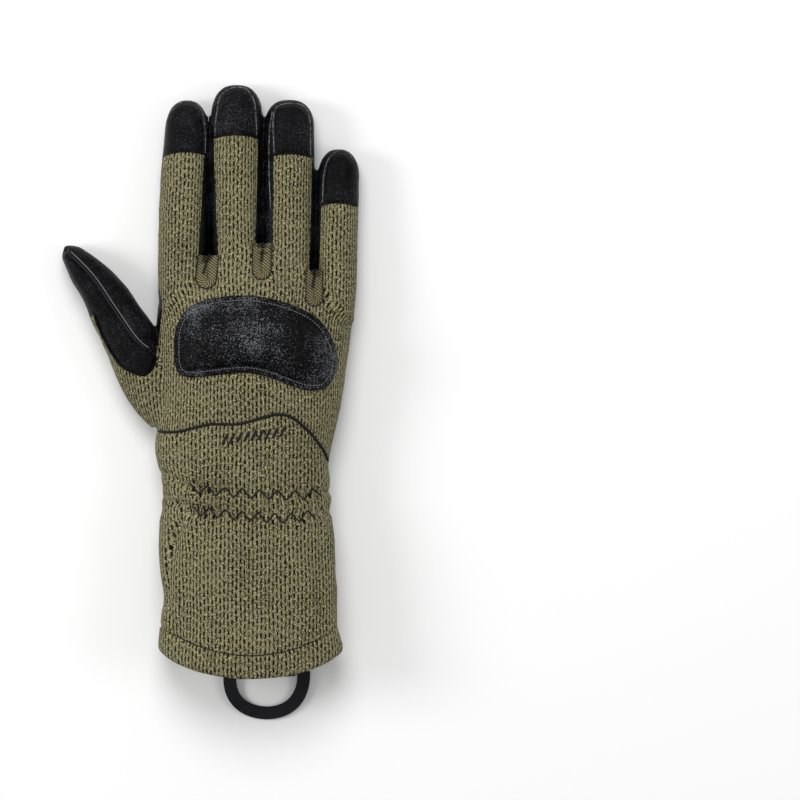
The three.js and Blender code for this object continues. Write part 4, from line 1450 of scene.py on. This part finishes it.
def pull_loop():
    steps, ribs = 150, 9
    turns = np.linspace(0, np.pi, steps + 1)
    x = STRAP_CENTRE + np.cos(turns) * LOOP_SPAN / 2
    drop = np.maximum(np.sin(turns), 0) ** 0.8
    start = hem_edge(x) * (1 - drop) - 0.3
    rest = LOOP_THICKNESS / 2
    at_hem = STRAP_CLEARANCE + WALL / 2
    y = start - drop * (LOOP_DROP - LOOP_WEBBING / 2)
    line = np.stack([x, y, rest + (at_hem - rest) * (1 - drop)], axis=1)
    along = np.gradient(line, axis=0)
    along[:, 2] = 0
    along /= np.linalg.norm(along, axis=1)[:, None]
    along[0], along[-1] = (0, -1, 0), (0, 1, 0)
    side = np.stack([-along[:, 1], along[:, 0], np.zeros(len(line))], axis=1)
    across = np.linspace(-1, 1, 4 * ribs + 1)
    rib = 0.22 * np.abs(np.sin(np.pi * ribs * (across + 1) / 2))
    half = LOOP_WEBBING / 2
    profile = [(a * half, LOOP_THICKNESS / 2 - 0.22 + r) for a, r in zip(across, rib)]
    profile += [(a * half, -LOOP_THICKNESS / 2 + 0.22 - r) for a, r in zip(across[::-1], rib)]
    sides = len(profile)
    points = []
    for centre, direction in zip(line, side):
        for offset, up in profile:
            point = centre + direction * offset + np.array([0, 0, up])
            point[1] = min(point[1], hem_edge(point[0]) - 0.45)
            points.append(point)
    faces = [list(range(sides)), list(range(steps * sides, (steps + 1) * sides))[::-1]]
    for ring in range(steps):
        for i in range(sides):
            j = (i + 1) % sides
            a = ring * sides
            faces.append([a + i, a + sides + i, a + sides + j, a + j])
    piece = mesh_piece("loop_webbing", points, faces)
    edit(piece, (bpy.ops.mesh.normals_make_consistent, {"inside": False}))
    return piece


panels["strap_patch"] = strap_patch()
details["strap_motif"] = strap_motif()
panels["pull_loop"] = pull_loop()

# Finishes


class Value:
    """A number that varies over a surface. Sums on it add Math nodes to its finish."""

    def __init__(self, finish, socket):
        self.finish = finish
        self.socket = socket

    def math(self, operation, *others):
        return self.finish.node("ShaderNodeMath", {"operation": operation}, self, *others)

    def __add__(self, other):
        return self.math("ADD", other)

    def __sub__(self, other):
        return self.math("SUBTRACT", other)

    def __mul__(self, other):
        return self.math("MULTIPLY", other)

    def __rsub__(self, other):
        return self.finish.node("ShaderNodeMath", {"operation": "SUBTRACT"}, other, self)

    __radd__ = __add__
    __rmul__ = __mul__


class Finish:
    """A material whose surface starts plain and takes its variation from nodes."""

    def __init__(self, name, **surface):
        self.material = bpy.data.materials.new(name)
        self.material.use_nodes = True
        self.tree = self.material.node_tree
        self.shader = self.tree.nodes["Principled BSDF"]
        for socket, value in surface.items():
            self.shader.inputs[socket.replace("_", " ")].default_value = value

    def node(self, kind, settings=None, *values, out=0, **named):
        made = self.tree.nodes.new(kind)
        for setting, value in (settings or {}).items():
            setattr(made, setting, value)
        inputs = list(enumerate(values)) + [(key.replace("_", " "), value) for key, value in named.items()]
        for key, value in inputs:
            if isinstance(value, Value):
                self.tree.links.new(value.socket, made.inputs[key])
            else:
                made.inputs[key].default_value = value
        return Value(self, made.outputs[out])

    def place(self):
        return self.node("ShaderNodeTexCoord", out="Object")

    def split(self, vector):
        parts = [self.node("ShaderNodeSeparateXYZ", None, vector, out=i) for i in range(3)]
        return parts

    def join(self, x, y, z=0.0):
        return self.node("ShaderNodeCombineXYZ", None, x, y, z)

    def cloudy(self, where, scale, detail=2.0, rough=0.5):
        return self.node("ShaderNodeTexNoise", {"noise_dimensions": "3D"}, Vector=where, Scale=scale,
                         Detail=detail, Roughness=rough, out="Fac")

    def chance(self, where):
        return self.node("ShaderNodeTexWhiteNoise", {"noise_dimensions": "2D"}, Vector=where, out="Value")

    def fade(self, value, low, high, start=0.0, end=1.0):
        smooth = {"interpolation_type": "SMOOTHSTEP"}
        return self.node("ShaderNodeMapRange", smooth, value, low, high, start, end)

    def blend(self, share, first, second):
        mix = self.tree.nodes.new("ShaderNodeMix")
        mix.data_type = "RGBA"
        for key, value in ((0, share), (6, first), (7, second)):
            if isinstance(value, Value):
                self.tree.links.new(value.socket, mix.inputs[key])
            else:
                mix.inputs[key].default_value = value
        return Value(self, mix.outputs[2])

    def bump(self, height, distance, strength=1.0):
        normal = self.node("ShaderNodeBump", None, Strength=strength, Distance=distance, Height=height,
                           out="Normal")
        self.tree.links.new(normal.socket, self.shader.inputs["Normal"])

    def drive(self, socket, value):
        self.tree.links.new(value.socket, self.shader.inputs[socket])


def shade(red, green, blue):
    """A colour from the 0 to 255 values of a colour card."""
    def linear(value):
        value = value / 255
        return value / 12.92 if value <= 0.04045 else ((value + 0.055) / 1.055) ** 2.4
    return (linear(red), linear(green), linear(blue), 1.0)


WALE = 2.05
COURSE = 3.9


def knit_finish(name):
    """Melange knit: ribs one wale wide, with dark slits between them in staggered rows."""
    knit = Finish(name, Roughness=0.92, Specular_IOR_Level=0.1, Sheen_Weight=0.04, Sheen_Roughness=0.5)
    flat_u, v, unused = knit.split(knit.node("ShaderNodeUVMap", {"uv_map": "weave"}))
    u = flat_u + (knit.cloudy(knit.join(flat_u, v * 0.6, 2.0), 0.11, 2.0) - 0.5) * 1.6
    wale = u * (1 / WALE)
    column = wale.math("FLOOR")
    in_wale = wale - column
    stagger = knit.chance(knit.join(column, 3.7)) * 0.5 + (column * 0.5).math("FRACT")
    run = v * (1 / COURSE) + stagger
    row = run.math("FLOOR")
    in_row = run - row
    odd = knit.chance(knit.join(column, row))
    slit = knit.fade((in_wale - 0.5).math("ABSOLUTE"), 0.27, 0.09)
    slit_long = knit.fade((in_row - 0.5 + (odd - 0.5) * 0.2).math("ABSOLUTE"), 0.4, 0.2)
    slits = slit * slit_long * (odd * 0.8 + 0.65)
    strand = (in_wale * (2 * math.pi)).math("COSINE")
    fibre = knit.cloudy(knit.join(u, v * 0.6, 0.0), 1.7, 2.0, 0.55)
    grit = knit.cloudy(knit.join(u, v * 0.8, 7.0), 2.8, 1.0, 0.5)
    broad = knit.cloudy(knit.join(u, v, 9.0), 0.05, 3.0)
    tone = strand * 0.12 + (fibre - 0.5) * 3.1 + (grit - 0.5) * 2.6 + (broad - 0.5) * 0.6 + 0.2
    ground = knit.blend(knit.fade(tone, -0.45, 1.15), shade(26, 21, 5), shade(180, 173, 132))
    ground = knit.blend(knit.fade(broad, 0.45, 0.75, 0.0, 0.25), ground, shade(76, 78, 60))
    knit.drive("Base Color", knit.blend(slits, ground, shade(8, 7, 2)))
    height = strand * 0.22 + fibre * 0.5 + grit * 0.25 - slits * 0.8
    knit.bump(height, 0.5 * MM, 0.8)
    return knit.material


RIB = 1.5


def rib_finish(name):
    """Fine ribs across the gussets."""
    ribbed = Finish(name, Roughness=0.92, Specular_IOR_Level=0.2)
    u, v, unused = ribbed.split(ribbed.node("ShaderNodeUVMap", {"uv_map": "weave"}))
    rib = (u * (2 * math.pi / RIB)).math("SINE") * 0.5 + 0.5
    fibre = ribbed.cloudy(ribbed.join(u, v, 0.0), 1.6, 3.0, 0.7)
    tone = rib * 0.75 + (fibre - 0.5) * 0.7
    between = ribbed.fade(tone, 0.0, 0.95)
    ribbed.drive("Base Color", ribbed.blend(between, shade(50, 44, 25), shade(148, 140, 104)))
    ribbed.bump(rib * 0.7 + fibre * 0.3, 0.5 * MM, 0.8)
    return ribbed.material


def leather_finish(name, dark, light, grain=1.0, relief=0.28):
    """Black leather with a fine pebble, broad soft swellings, painted glints and patches of painted sheen."""
    leather = Finish(name, Specular_IOR_Level=0.08)
    where = leather.place()
    pebble = leather.node("ShaderNodeTexVoronoi", {"feature": "SMOOTH_F1"}, Vector=where, Scale=950.0 / grain,
                          Smoothness=0.3, out="Distance")
    fine = leather.cloudy(where, 1500.0 / grain, 1.0, 0.5)
    soft = leather.cloudy(where, 90.0, 3.0)
    # broad patches where the light speckle is painted on as sheen, over the grain's own speckle
    painted_sheen = leather.cloudy(where, 34.0, 2.0)
    grain_and_painted_sheen = leather.fade(fine + (soft - 0.5) * 0.4 + (painted_sheen - 0.5) * 0.4, 0.49, 0.88)
    leather.drive("Base Color", leather.blend(grain_and_painted_sheen, dark, light))
    leather.drive("Roughness", leather.fade(soft, 0.3, 0.7, 0.32, 0.46))
    leather.bump((1 - pebble) * 0.8 + fine * 0.8 + soft * 0.8, relief * MM, 1.0)
    return leather.material


def felt_finish():
    felt = Finish("black_felt", Roughness=0.95, Specular_IOR_Level=0.2, Sheen_Weight=0.3)
    where = felt.place()
    fuzz = felt.cloudy(where, 1600.0, 4.0, 0.7)
    felt.drive("Base Color", felt.blend(fuzz, shade(12, 12, 14), shade(44, 45, 50)))
    felt.bump(fuzz, 0.4 * MM, 0.8)
    return felt.material


def webbing_finish():
    webbing = Finish("black_webbing", Roughness=0.7, Specular_IOR_Level=0.3)
    x, y, z = webbing.split(webbing.place())
    twill = ((x + y) * (2 * math.pi / (1.1 * MM))).math("SINE") * 0.5 + 0.5
    webbing.drive("Base Color", webbing.blend(twill, shade(10, 10, 12), shade(34, 35, 40)))
    webbing.bump(twill, 0.25 * MM, 0.7)
    return webbing.material


def thread_finish(name, colour, other):
    thread = Finish(name, Roughness=0.6, Specular_IOR_Level=0.35)
    where = thread.place()
    twist = thread.cloudy(where, 2400.0, 2.0)
    thread.drive("Base Color", thread.blend(twist, colour, other))
    thread.bump(twist, 0.12 * MM, 0.5)
    return thread.material


def plain_finish(name, dark, light, roughness):
    """A small worked edge or print, a little uneven."""
    plain = Finish(name, Roughness=roughness, Specular_IOR_Level=0.3)
    uneven = plain.cloudy(plain.place(), 700.0, 3.0)
    plain.drive("Base Color", plain.blend(plain.fade(uneven, 0.35, 0.65), dark, light))
    plain.bump(uneven, 0.08 * MM, 0.4)
    return plain.material


knit = knit_finish("olive_knit")
gusset_knit = rib_finish("olive_rib")
# the light shades paint grey glints and sheen on the black leather
leather = leather_finish("black_leather", shade(0, 0, 1), shade(62, 62, 68), relief=0.4)
guard_leather = leather_finish("guard_leather", shade(2, 2, 3), shade(118, 120, 124), 1.1, 0.5)
# light grey on the raised turned edges is a painted highlight
turned_edge = plain_finish("turned_edge", shade(34, 35, 38), shade(124, 126, 130), 0.35)
black_cord = plain_finish("black_cord", shade(4, 4, 6), shade(14, 14, 16), 0.7)
green_print = plain_finish("green_print", shade(158, 186, 24), shade(190, 214, 44), 0.6)
felt = felt_finish()
webbing = webbing_finish()
black_thread = thread_finish("black_thread", shade(3, 3, 4), shade(14, 14, 16))
grey_thread = thread_finish("grey_thread", shade(76, 78, 82), shade(150, 152, 156))

# Every piece with its finish and the node it stands for; the slots listed beside the finishes are not applied

SLOTS = {
    "back_panel": ("knit", knit), "cuff": ("knit", knit), "cuff_hem": ("knit", knit),
    "knuckle_guard": ("guard_leather", guard_leather), "wrist_piping": ("leather", black_cord),
    "strap_patch": ("felt", felt), "pull_loop": ("webbing", webbing),
}
for node, piece in panels.items():
    slot, finish = SLOTS.get(node, ("leather", leather))
    if node.endswith("_gusset"):
        slot, finish = "knit", gusset_knit
    piece.name = piece.data.name = "sewn_" + node
    piece.data.materials.clear()
    piece.data.materials.append(finish)
    select_only(piece)
    bpy.ops.object.shade_smooth_by_angle(angle=math.radians(42))
    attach(piece, "root")
    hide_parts(node)

# What has no node of its own: its finish, and black leather for the rest; the slots listed are not applied
DETAIL_FINISH = {
    "zigzag_threads": (black_thread, "knit"), "hem_stitches": (black_thread, "knit"),
    "crotch_stitches": (black_thread, "knit"), "thread_bars": (black_thread, "knit"),
    "guard_topstitch": (grey_thread, "guard_leather"), "thumb_stitches": (grey_thread, "leather"),
    "palm_stitches": (black_thread, "leather"), "strap_stitches": (black_thread, "knit"),
    "strap_motif": (green_print, "felt"),
}
for name, piece in details.items():
    finish, slot = DETAIL_FINISH.get(name, (leather, "leather"))
    # the light edge cords are painted light as a highlight
    if name.endswith("_edge"):
        finish = turned_edge
    # the black crease cords are painted shade in creases and slits
    elif name.endswith("_crease"):
        finish = black_thread
    piece.name = piece.data.name = name
    piece.data.materials.clear()
    piece.data.materials.append(finish)
    select_only(piece)
    bpy.ops.object.shade_smooth_by_angle(angle=math.radians(60))
    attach(piece, "root")
remove(outer)
remove(inner)

# Floor, light and camera

bpy.ops.mesh.primitive_plane_add(size=6, location=(0, 0, 0))
floor = bpy.context.object
floor.name = "floor"
paper = Finish("floor_paper", Roughness=0.9, Specular_IOR_Level=0.2)
clouds = paper.cloudy(paper.place(), 3.0)
paper.drive("Base Color", paper.blend(clouds, shade(250, 250, 250), shade(253, 253, 253)))
floor.data.materials.append(paper.material)


def soft_light(name, place, size, watts):
    bpy.ops.object.light_add(type="AREA", location=place)
    light = bpy.context.object
    light.name = name
    light.data.shape = "DISK"
    light.data.size = size
    light.data.energy = watts
    light.rotation_euler = (-Vector(place)).to_track_quat("-Z", "Y").to_euler()


soft_light("key_light", (-0.1, 0.95, 1.5), 1.1, 17)
soft_light("left_light", (-1.4, 0.1, 0.9), 0.7, 12)
soft_light("right_light", (1.4, -0.2, 0.9), 0.7, 5)
world = bpy.data.worlds.new("studio")
world.use_nodes = True
world.node_tree.nodes["Background"].inputs[0].default_value = (1, 1, 1, 1)
world.node_tree.nodes["Background"].inputs[1].default_value = 0.36
bpy.context.scene.world = world
bpy.context.scene.view_settings.view_transform = "Standard"

# The photograph's scale and where the glove's origin lies in its 800 pixel frame
PIXEL = 0.504 * MM
LENS = 500
SENSOR = 36
view_width = 800 * PIXEL
camera_height = view_width * LENS / SENSOR
HAND_AXIS_PIXEL = (252, 680)
camera_x = PLAN_ORIGIN[0] + (400 - HAND_AXIS_PIXEL[0]) * PIXEL
camera_y = PLAN_ORIGIN[1] + (HAND_AXIS_PIXEL[1] - 400) * PIXEL
bpy.ops.object.camera_add(location=(camera_x, camera_y, camera_height), rotation=(0, 0, 0))
camera = bpy.context.object
camera.data.lens = LENS
camera.data.sensor_width = SENSOR
camera.data.clip_end = 20
bpy.context.scene.camera = camera
